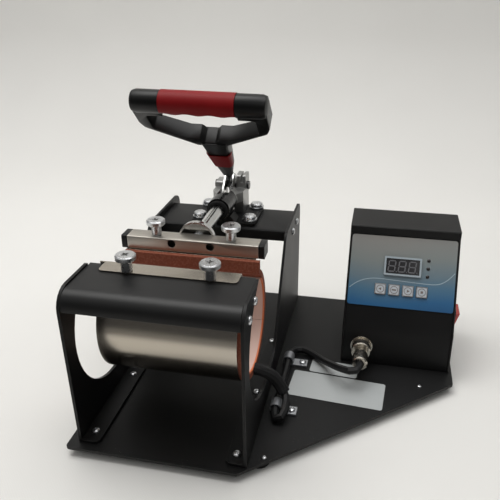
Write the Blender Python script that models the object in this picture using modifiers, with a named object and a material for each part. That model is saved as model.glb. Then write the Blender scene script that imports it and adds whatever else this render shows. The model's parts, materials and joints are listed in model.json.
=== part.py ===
"""Mug heat press: a bent-steel frame on a base plate, a flexible heater band that a toggle clamp
closes round a mug, and a sloped control box beside it.

Metres, +Z up, +Y to the rear, +X to the right as the operator sees it. The origin is on the floor,
under the centre of the press's outer box.
"""

import math

import bmesh
import bpy
from mathutils import Matrix, Vector

# Clearances
SEAT = 0.0003
OVERRUN = 0.004
WELD = 0.00001

# Facets of round pieces
MEDIUM_SEGMENTS = 24
SMALL_SEGMENTS = 16

# Base plate and feet
PLATE_WIDTH = 0.3133
PLATE_DEPTH = 0.2796
PLATE_THICK = 0.0025
PLATE_CORNER = 0.003
CUT_START = 0.1431
CUT_RISE = 0.1446
FOOT_RADIUS = 0.0085
FOOT_TOP_RADIUS = 0.0070
FOOT_HEIGHT = 0.0070
FOOT_INSET = 0.0170
FOOT_CUT_X = 0.1555
FOOT_CUT_Y = 0.0265
FOOT_SIDE_X = 0.0300
FOOT_SIDE_Y = 0.1380

# Side plates
SIDE_INSET = 0.0089
SIDE_PITCH = 0.1408
SIDE_THICK = 0.0025
SIDE_SETBACK = 0.0073
SIDE_DEPTH = 0.2718
FRONT_HEIGHT = 0.1400
FRONT_CORNER = 0.0170
FRONT_TOP_END = 0.0600
FRONT_TOP_CORNER = 0.0010
HORN_DROP = 0.0060
SADDLE_RADIUS = 0.0595
SADDLE_BACK = 0.0810
SADDLE_DROP = 0.0570
SADDLE_UP = FRONT_HEIGHT - SADDLE_DROP
SLOPE_FOOT = 0.1270
SLOPE_HEAD = 0.1900
SLOPE_FOOT_RADIUS = 0.0220
SLOPE_HEAD_RADIUS = 0.0120
REAR_DROP = 0.0215
REAR_HEIGHT = FRONT_HEIGHT - REAR_DROP
REAR_CORNER = 0.0100
FLANGE_WIDTH = 0.0176
FLANGE_CORNER = 0.0050

# Front cover
COVER_SHEET = 0.0020
COVER_DROP = 0.0015
COVER_SETBACK = 0.0010
COVER_FACE = 0.0150
COVER_BEND = 0.0125
COVER_REAR = 0.0610
COVER_TAB = 0.0150
COVER_TAB_SETBACK = 0.0040

# Rear crossbar
CROSSBAR_DROP = 0.0060
CROSSBAR_TOP = REAR_HEIGHT - CROSSBAR_DROP
CROSSBAR_FRONT = 0.2090
CROSSBAR_REAR = 0.2660
CROSSBAR_LIP = 0.0110
CROSSBAR_SHEET = 0.0025
CROSSBAR_BEND = 0.0030

# Heater band, round an axis that runs left to right
HEATER_BACK = 0.0875
HEATER_DROP = 0.0602
HEATER_UP = FRONT_HEIGHT - HEATER_DROP
HEATER_RADIUS = 0.0477
HEATER_WIDTH = 0.1200
HEATER_SHIFT = 0.0003
SHELL_SHEET = 0.0010
SHELL_RIGHT_MARGIN = 0.0040
SPONGE_THICK = 0.0045
MAT_THICK = 0.0015
SLIDE_GAP = 0.0004
SPLIT_BELOW_AXIS = 0.0180
FRONT_END_ANGLE = math.radians(122)
MAT_FRONT_ANGLE = math.radians(128)
REAR_END_ANGLE = math.radians(58)
MAT_REAR_ANGLE = math.radians(42)
STRIP_FRONT = 0.0480
STRIP_LEFT_MARGIN = 0.0045
STRIP_CORNER = 0.0030
ARC_STEP = math.radians(7)

# Pressing bar
BAR_WIDTH = 0.1168
BAR_CAP = 0.0050
BAR_FRONT = 0.1125
BAR_DEPTH = 0.0155
BAR_HEIGHT = 0.0120
BAR_CORNER = 0.0012
BAR_WALL = 0.0015
BAR_CAP_PLUG = 0.0060
BAR_HOLE_RADIUS = 0.0037
BAR_HOLE_RISE = 0.0016
BAR_HOLE_OFFSETS = (-0.0178, 0.0165)
TAB_BACK_MARGIN = 0.0015

# Thumb screws
THUMB_SPACING = 0.0670
THUMB_HEAD_RADIUS = 0.0082
THUMB_HEAD_HEIGHT = 0.0048
THUMB_NECK_RADIUS = 0.0044
THUMB_NECK_HEIGHT = 0.0090
THUMB_SHANK_RADIUS = 0.0020
THUMB_HOLE_RADIUS = 0.0028
THUMB_SHANK_BELOW = 0.0070
COVER_THUMB_BACK = 0.0510
COVER_THUMB_SHIFT = 0.0015
RECESS_ARM = 0.0048
RECESS_SLOT = 0.0013
RECESS_DEPTH = 0.0016

# Toggle clamp
CLAMP_AXIS_DROP = 0.0060
CLAMP_AXIS_UP = FRONT_HEIGHT - CLAMP_AXIS_DROP
CLAMP_FLANGE_FRONT = 0.2135
CLAMP_FLANGE_REAR = 0.2655
CLAMP_FLANGE_WIDTH = 0.0665
CLAMP_FLANGE_THICK = 0.0030
CLAMP_FLANGE_CORNER = 0.0040
CLAMP_BODY_FRONT = 0.2000
BARREL_RADIUS = 0.0115
BARREL_SLOT_START = 0.2150
BARREL_SLOT_HALF = 0.0054
BARREL_SLOT_DROP = 0.0062
CRADLE_FRONT = 0.2080
CRADLE_FOOT = 0.0145
CRADLE_HEAD = 0.0085
BRACKET_NOSE = 0.2300
BRACKET_NOSE_HALF = 0.0098
BRACKET_FLARE = 0.2400
BRACKET_HALF = 0.0160
BRACKET_RISE = 0.0005
BRACKET_NOSE_DROP = 0.0045
BRACKET_WALL = 0.0040
BRACKET_LEFT_WALL = 0.0070
BRACKET_RIGHT_WALL = 0.0060
EAR_LEFT_RISE = 0.0052
EAR_RIGHT_RISE = 0.0130
EAR_HALF = 0.0085
EAR_CORNER = 0.0020
EAR_SLOT_START = 0.0048
EAR_SLOT_WIDTH = 0.0022
EAR_SLOT_FOOT = 0.0050
CLAMP_FLOOR_THICK = 0.0030
CLAMP_BOLT_FRONT = 0.2235
CLAMP_BOLT_REAR = 0.2585
CLAMP_BOLT_SIDE = 0.0262
WASHER_RADIUS = 0.0077
WASHER_THICK = 0.0014
BOLT_HEAD_RADIUS = 0.0066
BOLT_HEAD_HEIGHT = 0.0048
BOLT_SHOULDER = 0.85
BOLT_SHANK_RADIUS = 0.0029
BOLT_HOLE_RADIUS = 0.0034
BOLT_BELOW = 0.0060
COLLAR_RADIUS = 0.0100
COLLAR_LENGTH = 0.0038
PLUNGER_RADIUS = 0.0065
PLUNGER_BORE = 0.0068
PLUNGER_TAIL = 0.0170
PLUNGER_TAIL_HALF = 0.0028
PLUNGER_TAIL_RISE = 0.0050
KEYWAY_WIDTH = 0.0016
KEYWAY_DEPTH = 0.0010
KEYWAY_START = 0.0200
KEYWAY_LENGTH = 0.0480
CUP_RADIUS = 0.0166
CUP_DEPTH = 0.0060
CUP_WALL = 0.0016
CUP_BORE = 0.0032
CUP_BOLT_RADIUS = 0.0028
CUP_BOLT_HEAD = 0.0052
CUP_BOLT_HEAD_HEIGHT = 0.0032
CUP_BOLT_LENGTH = 0.0120

# Lever, link and handle, along the lever from its pivot
PIVOT_BACK = 0.2600
PIVOT_RISE = 0.0060
PIVOT_UP = CLAMP_AXIS_UP + PIVOT_RISE
LEVER_LEAN = math.radians(45)
HANDLE_TWIST = math.radians(-1.1)
PIN_RADIUS = 0.0035
PIN_BORE = 0.0038
PIN_HEAD_RADIUS = 0.0044
PIN_HEAD_HEIGHT = 0.0020
LEVER_HALF_WIDTH = 0.0028
LEVER_RADIUS = 0.0070
LEVER_BLOCK = 0.0220
ROD_RADIUS = 0.0028
LINK_ARM = 0.0150
LINK_LENGTH = 0.0245
LINK_PIN_RADIUS = 0.0024
LINK_BORE = 0.0027
LINK_SHEET = 0.0018
LINK_HALF_GAP = 0.0031
LINK_END_RADIUS = 0.0050
ROD_END = 0.0620
ROD_BORE = 0.0031
STEM_START = 0.0290
STEM_TIP_HALF = 0.0050
STEM_TIP_DEPTH = 0.0046
STEM_WAIST = 0.0470
STEM_WAIST_HALF = 0.0080
STEM_WAIST_DEPTH = 0.0066
STEM_ROOT = 0.0955
STEM_ROOT_HALF = 0.0130
STEM_TIP_SHIFT = 0.0008
STEM_WAIST_SHIFT = 0.0022
STEM_ROOT_SHIFT = 0.0026
STEM_ROOT_DEPTH = 0.0090
BAND_START = 0.0545
BAND_END = 0.0780
BAND_GAP = 0.0003
BAND_PROUD = 0.0008
BAND_BACK = 0.0030
HANDLE_HALF = 0.0590
HANDLE_CORNER_UP = 0.1215
HANDLE_CORNER_HALF = 0.0560
HANDLE_CHEEK_UP = 0.1300
HANDLE_CORNER_RADIUS = 0.0050
HANDLE_DEPTH = 0.0160
HANDLE_BEVEL = 0.0030
CAP_RADIUS = 0.0101
CAP_END = 0.0594
CAP_ROUND = 0.0045
GRIP_RADIUS = 0.0105
GRIP_HALF = 0.0328
GRIP_UP = 0.1520
GRIP_STATIONS = 20
GROOVE_PITCH = 0.0210
GRIP_CORE_RADIUS = 0.0075
GROOVE_DEPTH = 0.0024
OPENING_HALF = 0.0480
OPENING_CORNER = 0.0020
OPENING_SIDE_UP = 0.1210
OPENING_PAD_HALF = 0.0200
OPENING_PAD_UP = 0.1070
OPENING_PAD_INNER = 0.0090
OPENING_VALLEY_HALF = 0.0050
OPENING_VALLEY_UP = 0.1010

# Control box
BOX_LEFT = 0.2089
BOX_WIDTH = 0.1016
BOX_FRONT = 0.1608
BOX_SEAM_BACK = 0.1640
BOX_SEAM_UP = 0.0378
BOX_BROW_BACK = 0.2079
BOX_BROW_UP = 0.1172
BOX_HEIGHT = 0.1249
BOX_REAR = 0.2540
BOX_SHEET = 0.0015
PANEL_SETBACK = 0.0014
OVERLAY_MARGIN = 0.0003
OVERLAY_START = 0.0218
OVERLAY_LENGTH = 0.0672
OVERLAY_THICK = 0.0008
OVERLAY_CORNER = 0.0022

# Display and buttons, on the sloped panel: from its left edge and up its slope
DISPLAY_LEFT = 0.0340
DISPLAY_UP = 0.0522
DISPLAY_WIDTH = 0.0342
DISPLAY_HEIGHT = 0.0178
DISPLAY_PROUD = 0.0012
DISPLAY_CORNER = 0.0010
DISPLAY_RIM = 0.0018
DISPLAY_SINK = 0.0006
BUTTON_LEFT = 0.0320
BUTTON_PITCH = 0.0127
BUTTON_UP = 0.0386
BUTTON_COUNT = 4
BUTTON_HALF = 0.0050
BUTTON_CORNER = 0.0008
BUTTON_PROUD = 0.0012
BUTTON_FLANGE_MARGIN = 0.0008
BUTTON_FLANGE = 0.0010
BUTTON_TRAVEL = 0.0008
BOARD_DEPTH = 0.0100
BOARD_THICK = 0.0016
BOARD_WIDTH = 0.0860
BOARD_LENGTH = 0.0560
BOARD_START = 0.0220
STANDOFF_RADIUS = 0.0030
STANDOFF_INSET = 0.0045
STANDOFF_SIDES = 8
TACT_HALF = 0.0030
TACT_GAP = 0.0004
CUTOUT_GAP = 0.0004

# Power parts in the box
TRANSFORMER_WIDTH = 0.0420
TRANSFORMER_DEPTH = 0.0360
TRANSFORMER_HEIGHT = 0.0340
TRANSFORMER_LEFT = 0.0120
TRANSFORMER_BACK = 0.0400
TRANSFORMER_FOOT = 0.0600
TRANSFORMER_FOOT_THICK = 0.0020
SWITCH_BACK = 0.2000
SWITCH_UP = 0.0360
SWITCH_WIDTH = 0.0210
SWITCH_HEIGHT = 0.0280
SWITCH_RIM = 0.0018
SWITCH_RIM_PROUD = 0.0020
SWITCH_WALL = 0.0016
SWITCH_BODY_DEPTH = 0.0200
SWITCH_BACK_WALL = 0.0020
ROCKER_STAND = 0.0065
ROCKER_FACE = 0.0045
ROCKER_DIP = 0.0016
ROCKER_ROOT = 0.0030
ROCKER_TILT = math.radians(9)
ROCKER_GAP = 0.0008
ROCKER_PIN_RADIUS = 0.0014
ROCKER_PIN_BORE = 0.0017
ROCKER_PIN_REACH = 0.0010
INLET_UP = 0.0300
INLET_RIGHT = 0.0340
INLET_WIDTH = 0.0270
INLET_HEIGHT = 0.0200
INLET_DEPTH = 0.0200
INLET_FLANGE = 0.0035
INLET_FLANGE_THICK = 0.0025
INLET_WALL = 0.0020
INLET_SOCKET_DEPTH = 0.0150
INLET_CORNER = 0.0030
INLET_PIN_WIDTH = 0.0020
INLET_PIN_HEIGHT = 0.0040
INLET_PIN_PITCH = 0.0070
INLET_PIN_LENGTH = 0.0110

# Heater connector, on the lower front of the box; lengths run outward from the panel
CONNECTOR_RIGHT = 0.0190
CONNECTOR_UP = 0.0190
SOCKET_RADIUS = 0.0078
SOCKET_HOLE = 0.0081
SOCKET_FLANGE_RADIUS = 0.0105
SOCKET_FLANGE = 0.0020
SOCKET_INSIDE = 0.0120
SOCKET_BARREL_RADIUS = 0.0070
SOCKET_BARREL_END = 0.0090
SOCKET_BORE = 0.0056
SOCKET_BORE_DEPTH = 0.0080
PLUG_CORE_RADIUS = 0.0052
PLUG_CORE_START = 0.0030
PLUG_BODY_START = 0.0132
PLUG_BODY_RADIUS = 0.0069
PLUG_WAIST_RADIUS = 0.0058
PLUG_WAIST_LENGTH = 0.0060
PLUG_END = 0.0350
PLUG_CHAMFER = 0.0010
PLUG_BORE = 0.0038
PLUG_BORE_DEPTH = 0.0100
RING_START = 0.0027
RING_END = 0.0128
RING_RADIUS = 0.0092
RING_BORE = 0.0073
RING_LIP = 0.0020
RING_LIP_BORE = 0.0055
RING_CHAMFER = 0.0008

# Heater lead: one cable from the plug, through both clips, to the heater's right end.
# Its points are measured from the base plate's left edge, front edge and top face, but the end
# route's heights are measured from the heater's axis.
LEAD_RADIUS = 0.0035
LEAD_SPACING = 0.0065
LEAD_ROUTE = (
    (0.1602, 0.1400, 0.0054), (0.1600, 0.1250, 0.0042), (0.1600, 0.1080, 0.0042),
    (0.1600, 0.0920, 0.0046), (0.1600, 0.0780, 0.0054), (0.1602, 0.0690, 0.0050),
    (0.1622, 0.0624, 0.0046), (0.1655, 0.0612, 0.0056), (0.1682, 0.0650, 0.0076),
    (0.1690, 0.0730, 0.0096), (0.1682, 0.0815, 0.0116), (0.1650, 0.0870, 0.0142),
)
LEAD_END_ROUTE = (
    (0.1602, 0.0883, -0.0586), (0.1556, 0.0872, -0.0514), (0.1505, 0.0852, -0.0463),
    (0.1455, 0.0842, -0.0436), (0.1385, 0.0840, -0.0430),
)
LEAD_PLUG_ROUTE = (
    (0.2260, 0.1208, 0.0211), (0.2207, 0.1190, 0.0204), (0.2145, 0.1233, 0.0181),
    (0.2085, 0.1293, 0.0151), (0.2025, 0.1368, 0.0118), (0.1965, 0.1448, 0.0082),
    (0.1905, 0.1523, 0.0055), (0.1835, 0.1593, 0.0043), (0.1765, 0.1642, 0.0042), (0.1690, 0.1662, 0.0044),
    (0.1628, 0.1618, 0.0050), (0.1604, 0.1548, 0.0054), (0.1601, 0.1480, 0.0054),
)
SLEEVE_RADIUS = 0.0054
SLEEVE_BORE = 0.0044
SLEEVE_POINTS = 7
CLIP_SHEET = 0.0010
CLIP_WIDTH = 0.0100
CLIP_RADIUS = 0.0041
CLIP_REACH = 0.0180
CLIP_TAB_THICK = 0.0018
CLIP_HOLE_RADIUS = 0.0020
CLIP_HOLE_MARGIN = 0.0045
CLIP_BACKS = (0.0780, 0.1480)
CLIP_RIGHT = 0.1600

# Derived datums
BOX_RIGHT = BOX_LEFT + BOX_WIDTH
SWITCH_OVERHANG = max(0.0, BOX_RIGHT + ROCKER_STAND - PLATE_WIDTH)
LEFT = -(PLATE_WIDTH + SWITCH_OVERHANG) / 2
FRONT = -PLATE_DEPTH / 2
DECK = FOOT_HEIGHT + SEAT + PLATE_THICK
FLOOR_SEAT = DECK + SEAT
CENTRE_X = LEFT + SIDE_INSET + SIDE_PITCH / 2
HALF_PITCH = SIDE_PITCH / 2
INNER_HALF = HALF_PITCH - SIDE_THICK
HEATER_Y = FRONT + HEATER_BACK
HEATER_Z = DECK + HEATER_UP
HEATER_X = CENTRE_X + HEATER_SHIFT
COVER_TOP = DECK + FRONT_HEIGHT - COVER_DROP
STRIP_UNDER = COVER_TOP + SEAT
CLAMP_Z = DECK + CLAMP_AXIS_UP
BAR_LOW = CLAMP_Z - BAR_HEIGHT / 2
BAR_HIGH = CLAMP_Z + BAR_HEIGHT / 2
BAR_REAR = FRONT + BAR_FRONT + BAR_DEPTH
CLAMP_FLANGE_UNDER = DECK + CROSSBAR_TOP + SEAT
CLAMP_FLANGE_TOP = CLAMP_FLANGE_UNDER + CLAMP_FLANGE_THICK
CUP_FRONT = BAR_REAR + SEAT
CUP_FLOOR = CUP_FRONT + CUP_DEPTH - CUP_WALL
PLUNGER_FRONT = CUP_FRONT + CUP_DEPTH + SEAT
PIVOT = Vector((CENTRE_X, FRONT + PIVOT_BACK, DECK + PIVOT_UP))
PANEL_TILT = math.atan2(BOX_BROW_UP - BOX_SEAM_UP, BOX_BROW_BACK - BOX_SEAM_BACK)
BOX_X = LEFT + BOX_LEFT
PANEL_ORIGIN = Vector((BOX_X, FRONT + BOX_SEAM_BACK, DECK + BOX_SEAM_UP))

# Collections
for old in list(bpy.data.objects):
    bpy.data.objects.remove(old, do_unlink=True)


def collection(name):
    """A collection of this name, linked into the scene."""
    group = bpy.data.collections.get(name) or bpy.data.collections.new(name)
    if group.name not in bpy.context.scene.collection.children:
        bpy.context.scene.collection.children.link(group)
    return group


PARTS = collection("mug_heat_press")
CUTTERS = collection("cutters")


def finish(name, colour, roughness, metallic=0.0):
    """A Principled material."""
    made = bpy.data.materials.new(name)
    made.use_nodes = True
    shader = made.node_tree.nodes["Principled BSDF"]
    shader.inputs["Base Color"].default_value = (*colour, 1.0)
    shader.inputs["Roughness"].default_value = roughness
    shader.inputs["Metallic"].default_value = metallic
    return made


BLACK_COAT = finish("black_powder_coat", (0.022, 0.022, 0.024), 0.45)
STAINLESS = finish("brushed_stainless", (0.58, 0.55, 0.50), 0.32, 1.0)
CHROME = finish("bright_chrome", (0.70, 0.70, 0.69), 0.15, 1.0)
ZINC = finish("zinc_plate", (0.66, 0.67, 0.68), 0.25, 1.0)
DARK_STEEL = finish("dark_steel", (0.10, 0.10, 0.10), 0.40, 1.0)
BLACK_PLASTIC = finish("black_plastic", (0.020, 0.020, 0.021), 0.40)
RED_PLASTIC = finish("red_plastic", (0.45, 0.030, 0.035), 0.45)
SILICONE_RED = finish("red_silicone_sponge", (0.36, 0.075, 0.050), 0.80)
SILICONE_PALE = finish("pale_silicone_mat", (0.66, 0.48, 0.42), 0.60)
BLACK_RUBBER = finish("black_rubber", (0.018, 0.018, 0.018), 0.70)
OVERLAY_BLUE = finish("blue_overlay", (0.12, 0.36, 0.58), 0.35)
DISPLAY_BLACK = finish("display_black", (0.012, 0.012, 0.014), 0.15)
BUTTON_GREY = finish("button_grey", (0.55, 0.58, 0.60), 0.40)
BOARD_GREEN = finish("board_green", (0.03, 0.18, 0.08), 0.50)
ZINC_GREY = finish("grey_clip", (0.42, 0.43, 0.45), 0.40, 1.0)


# Shape helpers
def place(name, mesh, material, frame=Matrix.Identity(4)):
    """An object that holds the mesh, put at a frame."""
    made = bpy.data.objects.new(name, mesh)
    made.matrix_world = frame
    PARTS.objects.link(made)
    if material:
        mesh.materials.clear()
        mesh.materials.append(material)
    mesh.shade_smooth()
    mesh.set_sharp_from_angle(angle=math.radians(30))
    return made


def mesh_from(name, shape):
    """A mesh from a closed bmesh, with its faces pointing out."""
    bmesh.ops.recalc_face_normals(shape, faces=shape.faces)
    if shape.calc_volume(signed=True) < 0:
        bmesh.ops.reverse_faces(shape, faces=shape.faces)
    mesh = bpy.data.meshes.new(name)
    shape.to_mesh(mesh)
    shape.free()
    return mesh


def bevel(target, width, segments=2):
    """A rounded-edge modifier."""
    made = target.modifiers.new("bevel", "BEVEL")
    made.width = width
    made.segments = segments
    made.limit_method = "ANGLE"
    made.angle_limit = math.radians(40)
    made.use_clamp_overlap = True
    return target


def combine(target, tool, operation="DIFFERENCE"):
    """Cut or join a target with a tool, which moves to the cutters."""
    for group in list(tool.users_collection):
        group.objects.unlink(tool)
    CUTTERS.objects.link(tool)
    tool.hide_render = True
    tool.display_type = "WIRE"
    made = target.modifiers.new(operation.lower(), "BOOLEAN")
    made.operation = operation
    made.object = tool
    made.solver = "EXACT"
    return target


def join(target, tool):
    """Unite a target with a tool."""
    return combine(target, tool, "UNION")


def box(name, low, high, material=None, frame=Matrix.Identity(4)):
    """A box between two corners."""
    low, high = Vector(low), Vector(high)
    shape = bmesh.new()
    bmesh.ops.create_cube(shape, size=1.0)
    bmesh.ops.scale(shape, vec=high - low, verts=shape.verts)
    bmesh.ops.translate(shape, vec=(low + high) / 2, verts=shape.verts)
    return place(name, mesh_from(name, shape), material, frame)


def facing(start, direction):
    """A frame at start whose local Z runs along direction."""
    turn = Vector(direction).to_track_quat("Z", "Y").to_matrix().to_4x4()
    return Matrix.Translation(Vector(start)) @ turn


def cylinder(name, start, end, radius, material=None, segments=MEDIUM_SEGMENTS, frame=Matrix.Identity(4)):
    """A round bar from start to end."""
    start, end = Vector(start), Vector(end)
    length = (end - start).length
    shape = bmesh.new()
    bmesh.ops.create_cone(shape, cap_ends=True, segments=segments, radius1=radius, radius2=radius,
                          depth=length)
    bmesh.ops.translate(shape, vec=(0, 0, length / 2), verts=shape.verts)
    shape.transform(facing(start, end - start))
    return place(name, mesh_from(name, shape), material, frame)


def turned(name, profile, frame, material=None, segments=MEDIUM_SEGMENTS):
    """A turned piece: profile points (radius, height) run down its outer side."""
    mesh = bpy.data.meshes.new(name)
    closed = profile[0][0] > 0
    edges = [(i, i + 1) for i in range(len(profile) - 1)]
    if closed:
        edges.append((len(profile) - 1, 0))
    mesh.from_pydata([(radius, 0.0, height) for radius, height in profile], edges, [])
    made = place(name, mesh, material, frame)
    screw = made.modifiers.new("screw", "SCREW")
    screw.axis = "Z"
    screw.steps = segments
    screw.render_steps = segments
    screw.use_merge_vertices = True
    screw.merge_threshold = WELD
    screw.use_smooth_shade = True
    return made


def rounded(corners, step=math.radians(15)):
    """Outline points for corners (a, b, radius), each corner rounded by an arc."""
    points = []
    count = len(corners)
    for i, (a, b, radius) in enumerate(corners):
        here = Vector((a, b))
        if radius <= 0:
            points.append((a, b))
            continue
        back = (Vector(corners[i - 1][:2]) - here).normalized()
        ahead = (Vector(corners[(i + 1) % count][:2]) - here).normalized()
        half = back.angle(ahead) / 2
        bisector = (back + ahead).normalized()
        centre = here + bisector * (radius / math.sin(half))
        first = here + back * (radius / math.tan(half)) - centre
        sweep = first.angle_signed(here + ahead * (radius / math.tan(half)) - centre)
        arcs = max(2, round(abs(sweep) / step))
        for k in range(arcs + 1):
            turn = Matrix.Rotation(-sweep * k / arcs, 2)
            points.append(tuple(centre + turn @ first))
    return points


def arc(centre, radius, start, end, step=ARC_STEP):
    """Points of an arc in a plane, from one angle to another."""
    count = max(1, round(abs(end - start) / step))
    angles = [start + (end - start) * k / count for k in range(count + 1)]
    return [(centre[0] + radius * math.cos(a), centre[1] + radius * math.sin(a)) for a in angles]


def prism(name, outlines, thickness, frame, material=None):
    """A flat outline, with any holes after it, raised from local Z zero by its thickness."""
    curve = bpy.data.curves.new(name, "CURVE")
    curve.dimensions = "2D"
    curve.fill_mode = "BOTH"
    curve.extrude = thickness / 2
    for outline in outlines:
        spline = curve.splines.new("POLY")
        spline.points.add(len(outline) - 1)
        spline.use_cyclic_u = True
        for point, (a, b) in zip(spline.points, outline):
            point.co = (a, b, 0.0, 1.0)
    return solid_from_curve(name, curve, frame @ Matrix.Translation((0, 0, thickness / 2)), material)


def solid_from_curve(name, curve, frame, material):
    """A closed mesh object made from a curve, whose caps are welded."""
    source = bpy.data.objects.new(name + "_curve", curve)
    CUTTERS.objects.link(source)
    depsgraph = bpy.context.evaluated_depsgraph_get()
    mesh = bpy.data.meshes.new_from_object(source.evaluated_get(depsgraph))
    bpy.data.objects.remove(source, do_unlink=True)
    shape = bmesh.new()
    shape.from_mesh(mesh)
    bmesh.ops.remove_doubles(shape, verts=shape.verts, dist=WELD)
    bmesh.ops.transform(shape, matrix=frame, verts=shape.verts)
    return place(name, mesh_from(name, shape), material)


def tube(name, points, radius, material, sides=2):
    """A round tube with closed ends along points."""
    curve = bpy.data.curves.new(name, "CURVE")
    curve.dimensions = "3D"
    curve.bevel_depth = radius
    curve.bevel_resolution = sides
    curve.use_fill_caps = True
    spline = curve.splines.new("POLY")
    spline.points.add(len(points) - 1)
    for point, place_at in zip(spline.points, points):
        point.co = (*place_at, 1.0)
    return solid_from_curve(name, curve, Matrix.Identity(4), material)


def across(x):
    """The frame of a plane that faces +X: its first axis is +Y and its second +Z."""
    return Matrix(((0, 0, 1, x), (1, 0, 0, 0), (0, 1, 0, 0), (0, 0, 0, 1)))


def facing_front(y):
    """The frame of a plane that faces -Y: its first axis is +X and its second +Z."""
    return Matrix(((1, 0, 0, 0), (0, 0, -1, y), (0, 1, 0, 0), (0, 0, 0, 1)))


def level(z):
    """The frame of a plane that faces +Z."""
    return Matrix.Translation((0, 0, z))


def rectangle(low_a, low_b, high_a, high_b, radius=0.0):
    """A rectangle's outline, with rounded corners if a radius is given."""
    return rounded([(low_a, low_b, radius), (high_a, low_b, radius), (high_a, high_b, radius),
                    (low_a, high_b, radius)], math.radians(30))


def circle(a, b, radius, segments=SMALL_SEGMENTS):
    """A circle's outline."""
    return [(a + radius * math.cos(2 * math.pi * k / segments),
             b + radius * math.sin(2 * math.pi * k / segments)) for k in range(segments)]


def group_at(name, frame):
    """An empty at a frame, which carries the pieces of a moving body."""
    made = bpy.data.objects.new(name, None)
    PARTS.objects.link(made)
    made.matrix_world = frame
    return made


def carry(parent, frame, *children):
    """Parent pieces to an empty, which keeps them where they are."""
    for child in children:
        child.parent = parent
        child.matrix_parent_inverse = frame.inverted()


def loft(name, sections, frame, material=None):
    """A solid through sections, each a list of the same number of (x, y, z) points."""
    shape = bmesh.new()
    rings = [[shape.verts.new(point) for point in section] for section in sections]
    count = len(rings[0])
    for low, high in zip(rings, rings[1:]):
        for k in range(count):
            n = (k + 1) % count
            shape.faces.new((low[k], low[n], high[n], high[k]))
    shape.faces.new(list(reversed(rings[0])))
    shape.faces.new(rings[-1])
    return place(name, mesh_from(name, shape), material, frame)


# Base plate and feet
def base_plate():
    """A flat plate whose front right corner is cut off at a slant."""
    outline = rounded([
        (LEFT, FRONT, PLATE_CORNER),
        (LEFT + CUT_START, FRONT, PLATE_CORNER),
        (LEFT + PLATE_WIDTH, FRONT + CUT_RISE, PLATE_CORNER),
        (LEFT + PLATE_WIDTH, FRONT + PLATE_DEPTH, PLATE_CORNER),
        (LEFT, FRONT + PLATE_DEPTH, PLATE_CORNER),
    ], math.radians(30))
    return prism("base_plate", [outline], PLATE_THICK, level(DECK - PLATE_THICK), BLACK_COAT)


def feet():
    """Five tapered rubber feet under the plate's corners."""
    spots = {
        "foot_front_left": (FOOT_INSET, FOOT_INSET),
        "foot_front_middle": (FOOT_CUT_X, FOOT_CUT_Y),
        "foot_right": (PLATE_WIDTH - FOOT_SIDE_X, FOOT_SIDE_Y),
        "foot_rear_left": (FOOT_INSET, PLATE_DEPTH - FOOT_INSET),
        "foot_rear_right": (PLATE_WIDTH - FOOT_INSET, PLATE_DEPTH - FOOT_INSET),
    }
    profile = [(0, FOOT_HEIGHT), (FOOT_TOP_RADIUS, FOOT_HEIGHT), (FOOT_RADIUS, 0), (0, 0)]
    for name, (right, back) in spots.items():
        frame = Matrix.Translation((LEFT + right, FRONT + back, 0))
        turned(name, profile, frame, BLACK_RUBBER, SMALL_SEGMENTS)


# Side plates, cover and crossbar
def side_outline():
    """The side plate's shape: a tall front post, a round saddle and a lower rear post."""
    front = FRONT + SIDE_SETBACK
    rear = front + SIDE_DEPTH
    top = DECK + FRONT_HEIGHT
    saddle = (FRONT + SADDLE_BACK, DECK + SADDLE_UP)
    saddle_low = saddle[1] - SADDLE_RADIUS
    horn = math.pi - math.asin((top - HORN_DROP - saddle[1]) / SADDLE_RADIUS)
    curve = arc(saddle, SADDLE_RADIUS, horn, 1.5 * math.pi)
    return rounded([
        (front, FLOOR_SEAT, 0),
        (front, top, FRONT_CORNER),
        (FRONT + FRONT_TOP_END, top, FRONT_TOP_CORNER),
        *[(y, z, 0) for y, z in curve],
        (FRONT + SLOPE_FOOT, saddle_low, SLOPE_FOOT_RADIUS),
        (FRONT + SLOPE_HEAD, DECK + REAR_HEIGHT, SLOPE_HEAD_RADIUS),
        (rear, DECK + REAR_HEIGHT, REAR_CORNER),
        (rear, FLOOR_SEAT, 0),
    ])


def side_plate(name, side):
    """One side plate, with a flange along its foot that points inward."""
    outer = CENTRE_X + side * HALF_PITCH
    inner = outer - side * SIDE_THICK
    edge = outer - side * FLANGE_WIDTH
    web = prism(name, [side_outline()], SIDE_THICK, across(min(outer, inner)), BLACK_COAT)
    front = FRONT + SIDE_SETBACK
    rear = front + SIDE_DEPTH
    if side < 0:
        outline = [(outer, front, 0), (edge, front, FLANGE_CORNER), (edge, rear, FLANGE_CORNER),
                   (outer, rear, 0)]
    else:
        outline = [(edge, front, FLANGE_CORNER), (outer, front, 0), (outer, rear, 0),
                   (edge, rear, FLANGE_CORNER)]
    flange = prism(name + "_flange", [rounded(outline, math.radians(30))], SIDE_THICK, level(FLOOR_SEAT))
    return join(web, flange)


def thumb_spots(y, shift=0.0):
    """The places of a pair of thumb screws, left and right."""
    return [(CENTRE_X + shift + side * THUMB_SPACING / 2, y) for side in (-1, 1)]


def drill(target, x, y, low, high, radius):
    """An upright hole."""
    tool = cylinder(target.name + "_drill", (x, y, low), (x, y, high), radius, segments=SMALL_SEGMENTS)
    return combine(target, tool)


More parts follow.
